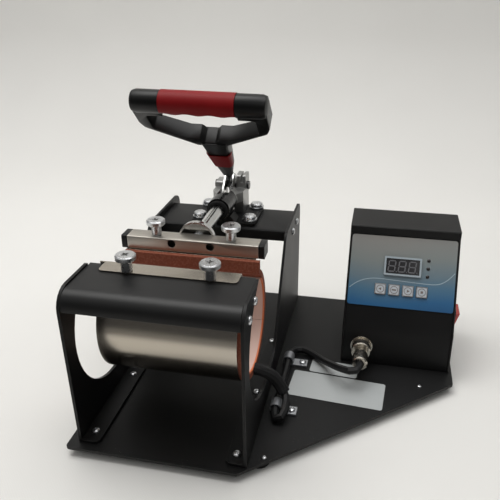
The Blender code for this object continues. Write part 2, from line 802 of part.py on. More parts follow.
def front_cover():
    """A bent sheet between the front posts, with a tab down each side."""
    half = INNER_HALF - SEAT
    face = FRONT + SIDE_SETBACK + COVER_SETBACK
    rear = FRONT + COVER_REAR
    low = COVER_TOP - COVER_FACE
    bend = COVER_BEND
    middle = COVER_SHEET / 2
    sheet = rounded([
        (face, low, 0), (face, COVER_TOP, bend), (rear, COVER_TOP, 0), (rear, COVER_TOP - COVER_SHEET, 0),
        (face + COVER_SHEET, COVER_TOP - COVER_SHEET, bend - COVER_SHEET), (face + COVER_SHEET, low, 0),
    ])
    cover = prism("front_cover", [sheet], 2 * half, across(CENTRE_X - half), BLACK_COAT)
    outline = rounded([
        (face + middle, COVER_TOP - COVER_TAB, 0),
        (face + middle, COVER_TOP - middle, bend - middle),
        (rear - COVER_TAB_SETBACK, COVER_TOP - middle, 0),
        (rear - COVER_TAB_SETBACK, COVER_TOP - COVER_TAB, COVER_TAB_SETBACK),
    ])
    for start in (CENTRE_X - half, CENTRE_X + half - COVER_SHEET):
        join(cover, prism("cover_tab", [outline], COVER_SHEET, across(start)))
    for x, y in thumb_spots(FRONT + COVER_THUMB_BACK, COVER_THUMB_SHIFT):
        drill(cover, x, y, COVER_TOP - COVER_SHEET - OVERRUN, COVER_TOP + OVERRUN, THUMB_HOLE_RADIUS)
    return cover


def rear_crossbar():
    """A channel between the rear posts, with a tab down each end."""
    half = INNER_HALF - SEAT
    top = DECK + CROSSBAR_TOP
    front, rear = FRONT + CROSSBAR_FRONT, FRONT + CROSSBAR_REAR
    low = top - CROSSBAR_LIP
    bend = CROSSBAR_BEND
    thick = CROSSBAR_SHEET
    sheet = rounded([
        (front, low, 0), (front, top, bend), (rear, top, bend), (rear, low, 0), (rear - thick, low, 0),
        (rear - thick, top - thick, bend - thick), (front + thick, top - thick, bend - thick),
        (front + thick, low, 0),
    ], math.radians(30))
    bar = prism("rear_crossbar", [sheet], 2 * half, across(CENTRE_X - half), BLACK_COAT)
    middle = CROSSBAR_SHEET / 2
    outline = rectangle(front + middle, low, rear - middle, top - middle)
    for start in (CENTRE_X - half, CENTRE_X + half - CROSSBAR_SHEET):
        join(bar, prism("crossbar_tab", [outline], CROSSBAR_SHEET, across(start)))
    for x, y in clamp_bolt_spots():
        drill(bar, x, y, top - CROSSBAR_SHEET - OVERRUN, top + OVERRUN, BOLT_HOLE_RADIUS)
    return bar


# Heater band
SHELL_OUTER = HEATER_RADIUS
SHELL_INNER = SHELL_OUTER - SHELL_SHEET
SPONGE_OUTER = SHELL_INNER - SEAT
SPONGE_INNER = SPONGE_OUTER - SPONGE_THICK
MAT_OUTER = SPONGE_INNER - SEAT
MAT_INNER = MAT_OUTER - MAT_THICK
HEATER_LEFT = HEATER_X - HEATER_WIDTH / 2
HEATER_RIGHT = HEATER_X + HEATER_WIDTH / 2


def split_angle(radius, depth):
    """The angle, below the level of the axis, at which a circle is depth lower than it."""
    return -math.asin(depth / radius)


def angle_at(radius, y):
    """The angle at which a circle round the heater's axis reaches y on its upper side."""
    return math.acos((y - HEATER_Y) / radius)


def heater_arc(radius, start, end):
    """Points of a circle round the heater's axis."""
    return arc((HEATER_Y, HEATER_Z), radius, start, end)


def front_layer(outer, inner, start_outer, start_inner, head):
    """A layer's front and lower part, from its front end, with head points there, to the split."""
    depth = SPLIT_BELOW_AXIS + SLIDE_GAP
    outward = heater_arc(outer, start_outer, 2 * math.pi + split_angle(outer, depth))
    inward = heater_arc(inner, 2 * math.pi + split_angle(inner, depth), start_inner)
    return outward + inward + head


def rear_layer(outer, inner, end_outer, end_inner, head):
    """A layer's rear upper part, from the split to its rear end, with head points there."""
    outward = heater_arc(outer, split_angle(outer, SPLIT_BELOW_AXIS), end_outer)
    inward = heater_arc(inner, end_inner, split_angle(inner, SPLIT_BELOW_AXIS))
    return outward + head + inward


def heater_shell_front():
    """The steel sheet's front part: its end is bent up and forward, onto the cover."""
    riser = HEATER_Y + SHELL_OUTER * math.cos(FRONT_END_ANGLE)
    back = riser + SHELL_SHEET
    top = STRIP_UNDER + SHELL_SHEET
    head = [(back, top), (riser, top)]
    outline = front_layer(SHELL_OUTER, SHELL_INNER, FRONT_END_ANGLE, angle_at(SHELL_INNER, back), head)
    shell = prism("heater_shell_front", [outline], HEATER_WIDTH - SHELL_RIGHT_MARGIN,
                  across(HEATER_LEFT), STAINLESS)
    strip = rectangle(HEATER_LEFT + STRIP_LEFT_MARGIN, FRONT + STRIP_FRONT,
                      HEATER_RIGHT - SHELL_RIGHT_MARGIN, back, STRIP_CORNER)
    join(shell, prism("strip", [strip], SHELL_SHEET, level(STRIP_UNDER)))
    for x, y in thumb_spots(FRONT + COVER_THUMB_BACK, COVER_THUMB_SHIFT):
        drill(shell, x, y, STRIP_UNDER - OVERRUN / 2, top + OVERRUN, THUMB_HOLE_RADIUS)
    return shell


def heater_shell_rear():
    """The steel sheet's rear part: its end is bent up and back, under the pressing bar."""
    riser = HEATER_Y + SHELL_OUTER * math.cos(REAR_END_ANGLE)
    front = riser - SHELL_SHEET
    top = BAR_LOW - SEAT
    back = BAR_REAR - TAB_BACK_MARGIN
    head = [(riser, top - SHELL_SHEET), (back, top - SHELL_SHEET), (back, top), (front, top)]
    outline = rear_layer(SHELL_OUTER, SHELL_INNER, REAR_END_ANGLE, angle_at(SHELL_INNER, front), head)
    return prism("heater_shell_rear", [outline], HEATER_WIDTH - SHELL_RIGHT_MARGIN, across(HEATER_LEFT),
                 STAINLESS)


def heater_sponges():
    """The silicone sponge between the sheet and the mat."""
    front = front_layer(SPONGE_OUTER, SPONGE_INNER, FRONT_END_ANGLE, FRONT_END_ANGLE, [])
    prism("heater_sponge_front", [front], HEATER_WIDTH, across(HEATER_LEFT), SILICONE_RED)
    back = HEATER_Y + SHELL_OUTER * math.cos(REAR_END_ANGLE) - SHELL_SHEET - SEAT
    face = back - SPONGE_THICK
    top = BAR_LOW - SEAT
    rear = rear_layer(SPONGE_OUTER, SPONGE_INNER, angle_at(SPONGE_OUTER, back),
                      angle_at(SPONGE_INNER, face), [(back, top), (face, top)])
    prism("heater_sponge_rear", [rear], HEATER_WIDTH, across(HEATER_LEFT), SILICONE_RED)


def heater_mats():
    """The heating mat that lies against the mug."""
    front = front_layer(MAT_OUTER, MAT_INNER, MAT_FRONT_ANGLE, MAT_FRONT_ANGLE, [])
    prism("heater_mat_front", [front], HEATER_WIDTH, across(HEATER_LEFT), SILICONE_PALE)
    rear = rear_layer(MAT_OUTER, MAT_INNER, MAT_REAR_ANGLE, MAT_REAR_ANGLE, [])
    prism("heater_mat_rear", [rear], HEATER_WIDTH, across(HEATER_LEFT), SILICONE_PALE)


# Pressing bar
def pressing_bar():
    """A box section across the band's rear end."""
    front = FRONT + BAR_FRONT
    wall = BAR_WALL
    outer = rectangle(front, BAR_LOW, BAR_REAR, BAR_HIGH, BAR_CORNER)
    inner = rectangle(front + wall, BAR_LOW + wall, BAR_REAR - wall, BAR_HIGH - wall)
    start = CENTRE_X - BAR_WIDTH / 2
    bar = prism("pressing_bar", [outer, inner], BAR_WIDTH, across(start), STAINLESS)
    for x, y in thumb_spots(front + BAR_DEPTH / 2):
        drill(bar, x, y, BAR_HIGH - wall - OVERRUN / 2, BAR_HIGH + OVERRUN, THUMB_HOLE_RADIUS)
    for offset in BAR_HOLE_OFFSETS:
        x, z = CENTRE_X + offset, CLAMP_Z + BAR_HOLE_RISE
        tool = cylinder("bar_hole", (x, front - OVERRUN, z), (x, front + wall + OVERRUN / 2, z),
                        BAR_HOLE_RADIUS, segments=SMALL_SEGMENTS)
        combine(bar, tool)
    return bar


def bar_cap(name, side):
    """A plastic cap with a plug that fits inside the bar's end."""
    front = FRONT + BAR_FRONT
    end = CENTRE_X + side * (BAR_WIDTH / 2 + SEAT)
    outer = rectangle(front, BAR_LOW, BAR_REAR, BAR_HIGH, BAR_CORNER)
    cap = prism(name, [outer], BAR_CAP, across(min(end, end + side * BAR_CAP)), BLACK_PLASTIC)
    inset = BAR_WALL + SEAT
    low_x, high_x = sorted((end - side * BAR_CAP_PLUG, end + side * BAR_CAP / 2))
    plug = box(name + "_plug", (low_x, front + inset, BAR_LOW + inset),
               (high_x, BAR_REAR - inset, BAR_HIGH - inset))
    return join(cap, plug)


def thumb_screw(name, x, y, seat):
    """A tall-headed thumb screw with a cross recess, which stands on seat."""
    head = THUMB_NECK_HEIGHT + THUMB_HEAD_HEIGHT
    chamfer = THUMB_HEAD_HEIGHT / 5
    profile = [
        (0, head), (THUMB_HEAD_RADIUS - chamfer, head), (THUMB_HEAD_RADIUS, head - chamfer),
        (THUMB_HEAD_RADIUS, THUMB_NECK_HEIGHT + chamfer), (THUMB_HEAD_RADIUS - chamfer, THUMB_NECK_HEIGHT),
        (THUMB_NECK_RADIUS, THUMB_NECK_HEIGHT - chamfer), (THUMB_NECK_RADIUS, 0),
        (THUMB_SHANK_RADIUS, 0), (THUMB_SHANK_RADIUS, -THUMB_SHANK_BELOW), (0, -THUMB_SHANK_BELOW),
    ]
    frame = Matrix.Translation((x, y, seat + SEAT))
    screw = turned(name, profile, frame, ZINC)
    for long_x, long_y in ((RECESS_ARM, RECESS_SLOT), (RECESS_SLOT, RECESS_ARM)):
        tool = box(name + "_recess", (-long_x / 2, -long_y / 2, head - RECESS_DEPTH),
                   (long_x / 2, long_y / 2, head + OVERRUN), frame=frame)
        combine(screw, tool)
    pivot = group_at(name + "_axis", frame)
    carry(pivot, frame, screw)
    return screw


# Toggle clamp
LEVER_FRAME = Matrix.Translation(PIVOT) @ Matrix.Rotation(LEVER_LEAN, 4, "X")
LINK_TOP = LEVER_FRAME @ Vector((0, 0, LINK_ARM))
LINK_DROP = LINK_TOP.z - CLAMP_Z
LINK_FOOT_Y = LINK_TOP.y - math.sqrt(LINK_LENGTH ** 2 - LINK_DROP ** 2)
LINK_LEAN = math.atan2(LINK_TOP.y - LINK_FOOT_Y, LINK_DROP)
LINK_FRAME = Matrix.Translation(LINK_TOP) @ Matrix.Rotation(-LINK_LEAN, 4, "X")


def clamp_bolt_spots():
    """The places of the clamp's four bolts."""
    return [(CENTRE_X + side * CLAMP_BOLT_SIDE, FRONT + back)
            for back in (CLAMP_BOLT_FRONT, CLAMP_BOLT_REAR) for side in (-1, 1)]


def clamp_flange():
    """The clamp's flat foot on the crossbar, with a raised rib under the guide."""
    half = CLAMP_FLANGE_WIDTH / 2
    outline = rectangle(CENTRE_X - half, FRONT + CLAMP_FLANGE_FRONT, CENTRE_X + half,
                        FRONT + CLAMP_FLANGE_REAR, CLAMP_FLANGE_CORNER)
    flange = prism("clamp_flange", [outline], CLAMP_FLANGE_THICK, level(CLAMP_FLANGE_UNDER), BLACK_COAT)
    low, high = CLAMP_FLANGE_TOP - CLAMP_FLANGE_THICK / 2, CLAMP_Z - BARREL_RADIUS - SEAT
    rib = [(CENTRE_X - CRADLE_FOOT, low), (CENTRE_X + CRADLE_FOOT, low), (CENTRE_X + CRADLE_HEAD, high),
           (CENTRE_X - CRADLE_HEAD, high)]
    start, end = FRONT + max(CRADLE_FRONT, CLAMP_FLANGE_FRONT), FRONT + BRACKET_NOSE - SEAT
    join(flange, prism("clamp_rib", [rib], end - start, facing_front(end)))
    for x, y in clamp_bolt_spots():
        drill(flange, x, y, CLAMP_FLANGE_UNDER - OVERRUN / 2, CLAMP_FLANGE_TOP + OVERRUN, BOLT_HOLE_RADIUS)
    return flange


def clamp_ear(side, inner, rise):
    """One of the bracket's ears, which holds the lever's pin."""
    start = CENTRE_X + min(side * inner, side * BRACKET_HALF)
    outline = rounded([
        (PIVOT.y - EAR_HALF, PIVOT.z - PIN_RADIUS, 0), (PIVOT.y + EAR_HALF, PIVOT.z - PIN_RADIUS, 0),
        (PIVOT.y + EAR_HALF, PIVOT.z + rise, EAR_CORNER), (PIVOT.y - EAR_HALF, PIVOT.z + rise, EAR_CORNER),
    ], math.radians(30))
    return prism("clamp_ear", [outline], BRACKET_HALF - inner, across(start))


def clamp_body():
    """The plunger's round guide and, behind it, a flared bracket with ears for the lever's pin."""
    low = CLAMP_FLANGE_TOP + SEAT
    front = FRONT + CLAMP_BODY_FRONT
    nose, flare, rear = FRONT + BRACKET_NOSE, FRONT + BRACKET_FLARE, FRONT + CLAMP_FLANGE_REAR
    top = PIVOT.z - BRACKET_RISE
    plan = [(-BRACKET_HALF, flare), (-BRACKET_NOSE_HALF, nose), (BRACKET_NOSE_HALF, nose),
            (BRACKET_HALF, flare), (BRACKET_HALF, rear), (-BRACKET_HALF, rear)]
    body = prism("clamp_body", [[(CENTRE_X + a, b) for a, b in plan]], top - low, level(low), CHROME)
    reach = BRACKET_HALF + OVERRUN
    combine(body, box("nose_under", (CENTRE_X - reach, nose - OVERRUN, low - OVERRUN),
                      (CENTRE_X + reach, flare, CLAMP_Z - BRACKET_NOSE_DROP)))
    join(body, cylinder("clamp_barrel", (CENTRE_X, front, CLAMP_Z), (CENTRE_X, flare, CLAMP_Z),
                        BARREL_RADIUS))
    join(body, clamp_ear(-1, BRACKET_LEFT_WALL, EAR_LEFT_RISE))
    join(body, clamp_ear(1, BRACKET_RIGHT_WALL, EAR_RIGHT_RISE))
    high = PIVOT.z + EAR_RIGHT_RISE + OVERRUN
    floor, slot_floor = low + CLAMP_FLOOR_THICK, CLAMP_Z - BARREL_SLOT_DROP
    combine(body, box("bracket_inside", (CENTRE_X - BRACKET_LEFT_WALL, nose + BRACKET_WALL, floor),
                      (CENTRE_X + BRACKET_RIGHT_WALL, rear + OVERRUN, high)))
    combine(body, box("barrel_slot", (CENTRE_X - BARREL_SLOT_HALF, FRONT + BARREL_SLOT_START, slot_floor),
                      (CENTRE_X + BARREL_SLOT_HALF, rear + OVERRUN, high)))
    slot = CENTRE_X + BRACKET_RIGHT_WALL + EAR_SLOT_START
    combine(body, box("ear_slot", (slot, PIVOT.y - EAR_HALF - OVERRUN, PIVOT.z + EAR_SLOT_FOOT),
                      (slot + EAR_SLOT_WIDTH, PIVOT.y + EAR_HALF + OVERRUN, high)))
    combine(body, cylinder("clamp_bore", (CENTRE_X, front - OVERRUN, CLAMP_Z),
                           (CENTRE_X, nose + BRACKET_WALL + OVERRUN, CLAMP_Z), PLUNGER_BORE))
    combine(body, cylinder("clamp_pin_bore", PIVOT - Vector((reach, 0, 0)), PIVOT + Vector((reach, 0, 0)),
                           PIN_BORE, segments=SMALL_SEGMENTS))
    return body


def clamp_collar():
    """The dark ring on the guide's mouth."""
    end = FRONT + CLAMP_BODY_FRONT - SEAT
    chamfer = COLLAR_LENGTH / 4
    profile = [
        (PLUNGER_BORE, COLLAR_LENGTH), (COLLAR_RADIUS - chamfer, COLLAR_LENGTH),
        (COLLAR_RADIUS, COLLAR_LENGTH - chamfer), (COLLAR_RADIUS, 0), (PLUNGER_BORE, 0),
    ]
    return turned("clamp_collar", profile, facing((CENTRE_X, end, CLAMP_Z), (0, -1, 0)), BLACK_RUBBER)


def clamp_bolts():
    """Domed bolts with washers, through the clamp's flange and the crossbar."""
    names = ("clamp_bolt_front_left", "clamp_bolt_front_right", "clamp_bolt_rear_left",
             "clamp_bolt_rear_right")
    for name, (x, y) in zip(names, clamp_bolt_spots()):
        seat = CLAMP_FLANGE_TOP + SEAT
        bolt = cylinder(name, (x, y, seat), (x, y, seat + WASHER_THICK), WASHER_RADIUS, ZINC)
        rim = WASHER_THICK + BOLT_HEAD_HEIGHT / 2
        crown = WASHER_THICK + BOLT_HEAD_HEIGHT
        profile = [(0, crown), (BOLT_HEAD_RADIUS / 2, crown - BOLT_HEAD_HEIGHT / 8),
                   (BOLT_HEAD_RADIUS * BOLT_SHOULDER, (crown + rim) / 2), (BOLT_HEAD_RADIUS, rim),
                   (BOLT_HEAD_RADIUS, WASHER_THICK / 2), (0, WASHER_THICK / 2)]
        head = turned(name + "_head", profile, Matrix.Translation((x, y, seat)))
        shank = cylinder(name + "_shank", (x, y, seat - CLAMP_FLANGE_THICK - BOLT_BELOW),
                         (x, y, seat + WASHER_THICK / 2), BOLT_SHANK_RADIUS, segments=SMALL_SEGMENTS)
        join(join(bolt, head), shank)


def plunger():
    """The sliding rod: a bore for the cup's bolt in front, a keyway on top and a flat tail."""
    rear = LINK_FOOT_Y + PLUNGER_TAIL_RISE
    rod = cylinder("clamp_plunger", (CENTRE_X, PLUNGER_FRONT, CLAMP_Z), (CENTRE_X, rear, CLAMP_Z),
                   PLUNGER_RADIUS, CHROME)
    tail = rear - PLUNGER_TAIL
    reach = PLUNGER_RADIUS + OVERRUN
    for side in (-1, 1):
        low_x, high_x = sorted((CENTRE_X + side * PLUNGER_TAIL_HALF, CENTRE_X + side * reach))
        combine(rod, box("tail_side", (low_x, tail, CLAMP_Z - reach),
                         (high_x, rear + OVERRUN, CLAMP_Z + reach)))
        low_z, high_z = sorted((CLAMP_Z + side * PLUNGER_TAIL_RISE, CLAMP_Z + side * reach))
        combine(rod, box("tail_face", (CENTRE_X - PLUNGER_RADIUS, tail, low_z),
                         (CENTRE_X + PLUNGER_RADIUS, rear + OVERRUN, high_z)))
    start = PLUNGER_FRONT + KEYWAY_START
    half = KEYWAY_WIDTH / 2
    combine(rod, box("keyway", (CENTRE_X - half, start, CLAMP_Z + PLUNGER_RADIUS - KEYWAY_DEPTH),
                     (CENTRE_X + half, start + KEYWAY_LENGTH, CLAMP_Z + reach)))
    depth = CUP_BOLT_LENGTH + OVERRUN / 2
    combine(rod, cylinder("plunger_bore", (CENTRE_X, PLUNGER_FRONT - OVERRUN, CLAMP_Z),
                          (CENTRE_X, PLUNGER_FRONT + depth, CLAMP_Z), CUP_BORE, segments=SMALL_SEGMENTS))
    return rod


def plunger_cup():
    """The dished washer between the plunger and the bar, open to the front."""
    profile = [
        (CUP_BORE, CUP_DEPTH), (CUP_RADIUS - CUP_WALL, CUP_DEPTH), (CUP_RADIUS, CUP_DEPTH - CUP_WALL),
        (CUP_RADIUS, 0), (CUP_RADIUS - CUP_WALL, 0), (CUP_RADIUS - CUP_WALL, CUP_DEPTH - CUP_WALL),
        (CUP_BORE, CUP_DEPTH - CUP_WALL),
    ]
    return turned("plunger_cup", profile, facing((CENTRE_X, CUP_FRONT, CLAMP_Z), (0, 1, 0)), CHROME)


def cup_bolt():
    """The bolt that holds the cup on the plunger."""
    dome = CUP_BOLT_HEAD_HEIGHT
    profile = [
        (0, dome), (CUP_BOLT_HEAD / 2, dome), (CUP_BOLT_HEAD, dome / 2), (CUP_BOLT_HEAD, 0),
        (CUP_BOLT_RADIUS, 0), (CUP_BOLT_RADIUS, -CUP_BOLT_LENGTH), (0, -CUP_BOLT_LENGTH),
    ]
    seat = CUP_FLOOR - SEAT
    return turned("plunger_bolt", profile, facing((CENTRE_X, seat, CLAMP_Z), (0, -1, 0)), ZINC,
                  SMALL_SEGMENTS)


def lever_pin():
    """The headed pin through the clamp's ears."""
    reach = BRACKET_HALF + SEAT
    head = reach + PIN_HEAD_HEIGHT
    profile = [
        (0, head), (PIN_HEAD_RADIUS, head), (PIN_HEAD_RADIUS, reach), (PIN_RADIUS, reach),
        (PIN_RADIUS, -reach), (PIN_HEAD_RADIUS, -reach), (PIN_HEAD_RADIUS, -head), (0, -head),
    ]
    return turned("lever_pin", profile, facing(PIVOT, (1, 0, 0)), DARK_STEEL, SMALL_SEGMENTS)


def lever():
    """A flat block on the pin, and the rod that carries the handle."""
    boss = arc((0, 0), LEVER_RADIUS, math.radians(155), math.radians(385), math.radians(23))
    half = LEVER_RADIUS * math.cos(math.radians(25))
    outline = boss + [(half, LEVER_BLOCK), (-half, LEVER_BLOCK)]
    bores = [circle(0, 0, PIN_BORE), circle(0, LINK_ARM, LINK_BORE)]
    block = prism("lever", [outline, *bores], 2 * LEVER_HALF_WIDTH,
                  LEVER_FRAME @ across(-LEVER_HALF_WIDTH), DARK_STEEL)
    rod = cylinder("lever_rod", (0, 0, LEVER_BLOCK - LEVER_HALF_WIDTH / 2), (0, 0, ROD_END), ROD_RADIUS,
                   segments=SMALL_SEGMENTS, frame=LEVER_FRAME)
    return join(block, rod)


def toggle_link():
    """Two link plates on one pin, which hang from the lever beside the plunger's tail."""
    outline = arc((0, 0), LINK_END_RADIUS, 0, math.pi, math.radians(30))
    outline += arc((0, -LINK_LENGTH), LINK_END_RADIUS, math.pi, 2 * math.pi, math.radians(30))
    outer = LINK_HALF_GAP + LINK_SHEET
    link = prism("toggle_link", [outline], LINK_SHEET, LINK_FRAME @ across(-outer), CHROME)
    join(link, prism("link_right", [outline], LINK_SHEET, LINK_FRAME @ across(LINK_HALF_GAP)))
    join(link, cylinder("link_pin", (-outer + LINK_SHEET / 2, 0, 0), (outer - LINK_SHEET / 2, 0, 0),
                        LINK_PIN_RADIUS, segments=SMALL_SEGMENTS, frame=LINK_FRAME))
    return link


# Handle, screwed onto the lever's rod a little short of square
HANDLE_FRAME = LEVER_FRAME @ Matrix.Rotation(HANDLE_TWIST, 4, "Z")


def stem_section(up, grow=0.0):
    """The stem's rounded section at a height along the lever, grown by a margin."""
    stations = ((STEM_START, STEM_TIP_HALF, STEM_TIP_DEPTH, STEM_TIP_SHIFT),
                (STEM_WAIST, STEM_WAIST_HALF, STEM_WAIST_DEPTH, STEM_WAIST_SHIFT),
                (STEM_ROOT, STEM_ROOT_HALF, STEM_ROOT_DEPTH, STEM_ROOT_SHIFT))
    lower, upper = (stations[0], stations[1]) if up < STEM_WAIST else (stations[1], stations[2])
    share = (up - lower[0]) / (upper[0] - lower[0])
    half = lower[1] + share * (upper[1] - lower[1]) + grow
    depth = lower[2] + share * (upper[2] - lower[2]) + grow
    middle = lower[3] + share * (upper[3] - lower[3])
    corner = depth / 2
    return [(x, y, up) for x, y in rectangle(middle - half, -depth, middle + half, depth, corner)]


def handle_outline():
    """The D handle's frame, open at the top where the grip's core bridges it."""
    cheek = GRIP_HALF + SEAT
    under = GRIP_UP - GRIP_RADIUS
    right = [
        (OPENING_VALLEY_HALF, OPENING_VALLEY_UP, 0),
        (OPENING_PAD_INNER, OPENING_PAD_UP, 0),
        (OPENING_PAD_HALF, OPENING_PAD_UP, 0),
        (OPENING_HALF, OPENING_SIDE_UP, OPENING_CORNER),
        (OPENING_HALF, under, OPENING_CORNER),
        (cheek, under, 0),
        (cheek, GRIP_UP, 0),
        (HANDLE_HALF, GRIP_UP, 0),
        (HANDLE_HALF, HANDLE_CHEEK_UP, OPENING_CORNER),
        (HANDLE_CORNER_HALF, HANDLE_CORNER_UP, HANDLE_CORNER_RADIUS),
        (STEM_ROOT_HALF, STEM_ROOT, 0),
    ]
    left = [(-a, b, radius) for a, b, radius in reversed(right)]
    return rounded(right + left, math.radians(30))


def handle_frame():
    """The black plastic handle: D-shaped frame, grip core and hollow stem."""
    half = HANDLE_DEPTH / 2
    plane = HANDLE_FRAME @ facing_front(half)
    frame = prism("handle_frame", [handle_outline()], HANDLE_DEPTH, plane, BLACK_PLASTIC)
    bevel(frame, HANDLE_BEVEL)
    cheek = GRIP_HALF + SEAT
    for side in (-1, 1):
        axis = HANDLE_FRAME @ facing((0, 0, GRIP_UP), (side, 0, 0))
        cap = [(0, CAP_END), (CAP_RADIUS - CAP_ROUND, CAP_END),
               (CAP_RADIUS - CAP_ROUND / 4, CAP_END - CAP_ROUND / 4), (CAP_RADIUS, CAP_END - CAP_ROUND),
               (CAP_RADIUS, cheek), (0, cheek)]
        join(frame, turned("grip_cap", cap, axis))
    reach = GRIP_HALF + OVERRUN
    join(frame, cylinder("grip_core", (-reach, 0, GRIP_UP), (reach, 0, GRIP_UP), GRIP_CORE_RADIUS,
                         segments=SMALL_SEGMENTS, frame=HANDLE_FRAME))
    top = STEM_ROOT + STEM_ROOT_DEPTH / 2
    sections = [stem_section(up) for up in (STEM_START, STEM_WAIST, top)]
    join(frame, loft("stem", sections, HANDLE_FRAME))
    combine(frame, cylinder("rod_bore", (0, 0, STEM_START - OVERRUN), (0, 0, ROD_END + SEAT), ROD_BORE,
                            segments=SMALL_SEGMENTS, frame=HANDLE_FRAME))
    return frame


def handle_grip():
    """The red sleeve round the grip's core, with finger grooves along its underside."""
    sections = []
    for k in range(GRIP_STATIONS + 1):
        x = GRIP_HALF * (2 * k / GRIP_STATIONS - 1)
        wave = GROOVE_DEPTH * (1 - math.cos(2 * math.pi * x / GROOVE_PITCH)) / 2
        ring = []
        for a in range(MEDIUM_SEGMENTS):
            turn = 2 * math.pi * a / MEDIUM_SEGMENTS
            below = max(0.0, -math.sin(turn))
            radius = GRIP_RADIUS - wave * below
            ring.append((x, radius * math.cos(turn), GRIP_UP + radius * math.sin(turn)))
        sections.append(ring)
    grip = loft("handle_grip", sections, HANDLE_FRAME, RED_PLASTIC)
    reach = GRIP_HALF + OVERRUN
    return combine(grip, cylinder("grip_bore", (-reach, 0, GRIP_UP), (reach, 0, GRIP_UP),
                                  GRIP_CORE_RADIUS + SEAT, segments=SMALL_SEGMENTS, frame=HANDLE_FRAME))


def stem_band():
    """The red panel over the stem's front face."""
    ups = (BAND_START, BAND_END)
    sections = [stem_section(up, BAND_GAP + BAND_PROUD) for up in ups]
    band = loft("stem_band", sections, HANDLE_FRAME, RED_PLASTIC)
    overrun = OVERRUN / 4
    ups = (BAND_START - overrun, BAND_START, BAND_END + overrun)
    combine(band, loft("band_bore", [stem_section(up, BAND_GAP) for up in ups], HANDLE_FRAME))
    reach = STEM_ROOT_HALF + OVERRUN
    return combine(band, box("band_back", (-reach, -BAND_BACK, BAND_START - OVERRUN),
                             (reach, STEM_ROOT_DEPTH + OVERRUN, BAND_END + OVERRUN), frame=HANDLE_FRAME))


# Control box
PANEL_FRONT = FRONT + BOX_FRONT + PANEL_SETBACK
PANEL_CORNER = PANEL_ORIGIN + Vector((0, PANEL_SETBACK, 0))
PANEL_FRAME = Matrix.Translation(PANEL_CORNER) @ Matrix.Rotation(PANEL_TILT, 4, "X")
PANEL_SLOPE = math.hypot(BOX_BROW_BACK - BOX_SEAM_BACK, BOX_BROW_UP - BOX_SEAM_UP)
LOWER_TILT = math.atan2(BOX_SEAM_UP, BOX_SEAM_BACK - BOX_FRONT)


def control_cover():
    """The box's sides, top and back, bent from one sheet, with a brow over the panel."""
    low, high = FLOOR_SEAT, DECK + BOX_HEIGHT
    rear = FRONT + BOX_REAR
    brow = FRONT + BOX_BROW_BACK
    brow_low = DECK + BOX_BROW_UP
    outline = [(FRONT + BOX_FRONT, low), (rear, low), (rear, high), (brow, high), (brow, brow_low),
               (FRONT + BOX_SEAM_BACK, DECK + BOX_SEAM_UP)]
    cover = prism("control_cover", [outline], BOX_WIDTH, across(BOX_X), BLACK_COAT)
    bevel(cover, BOX_SHEET / 2, 1)
    front = FRONT + BOX_FRONT - OVERRUN
    inner = [(front, low - OVERRUN), (rear - BOX_SHEET, low - OVERRUN), (rear - BOX_SHEET, high - BOX_SHEET),
             (brow + BOX_SHEET, high - BOX_SHEET), (brow + BOX_SHEET, brow_low), (front, brow_low)]
    combine(cover, prism("cover_inside", [inner], BOX_WIDTH - 2 * BOX_SHEET, across(BOX_X + BOX_SHEET)))
    half_y = SWITCH_WIDTH / 2 + SWITCH_WALL + CUTOUT_GAP
    half_z = SWITCH_HEIGHT / 2 + SWITCH_WALL + CUTOUT_GAP
    wall = BOX_X + BOX_WIDTH
    combine(cover, box("switch_cutout", (wall - BOX_SHEET - OVERRUN, SWITCH_Y - half_y, SWITCH_Z - half_z),
                       (wall + OVERRUN, SWITCH_Y + half_y, SWITCH_Z + half_z)))
    half_x = INLET_WIDTH / 2 + CUTOUT_GAP
    half_z = INLET_HEIGHT / 2 + CUTOUT_GAP
    combine(cover, box("inlet_cutout", (INLET_X - half_x, rear - BOX_SHEET - OVERRUN, INLET_Z - half_z),
                       (INLET_X + half_x, rear + OVERRUN, INLET_Z + half_z)))
    return cover


def button_spots():
    """Button centres on the sloped panel, measured from its left edge and up its slope."""
    return [(BUTTON_LEFT + k * BUTTON_PITCH, BUTTON_UP) for k in range(BUTTON_COUNT)]


def display_rectangle(margin):
    """The display's outline, grown by a margin."""
    return (DISPLAY_LEFT - margin, DISPLAY_UP - margin, DISPLAY_LEFT + DISPLAY_WIDTH + margin,
            DISPLAY_UP + DISPLAY_HEIGHT + margin)


def panel_hole(target, low, high):
    """Cut the display's window and the buttons' holes through a sheet between two local heights."""
    a, b, c, d = display_rectangle(CUTOUT_GAP - DISPLAY_RIM)
    combine(target, box("display_cutout", (a, b, low), (c, d, high), frame=PANEL_FRAME))
    for x, up in button_spots():
        half = BUTTON_HALF + SEAT
        combine(target, box("button_hole", (x - half, up - half, low), (x + half, up + half, high),
                            frame=PANEL_FRAME))
    return target


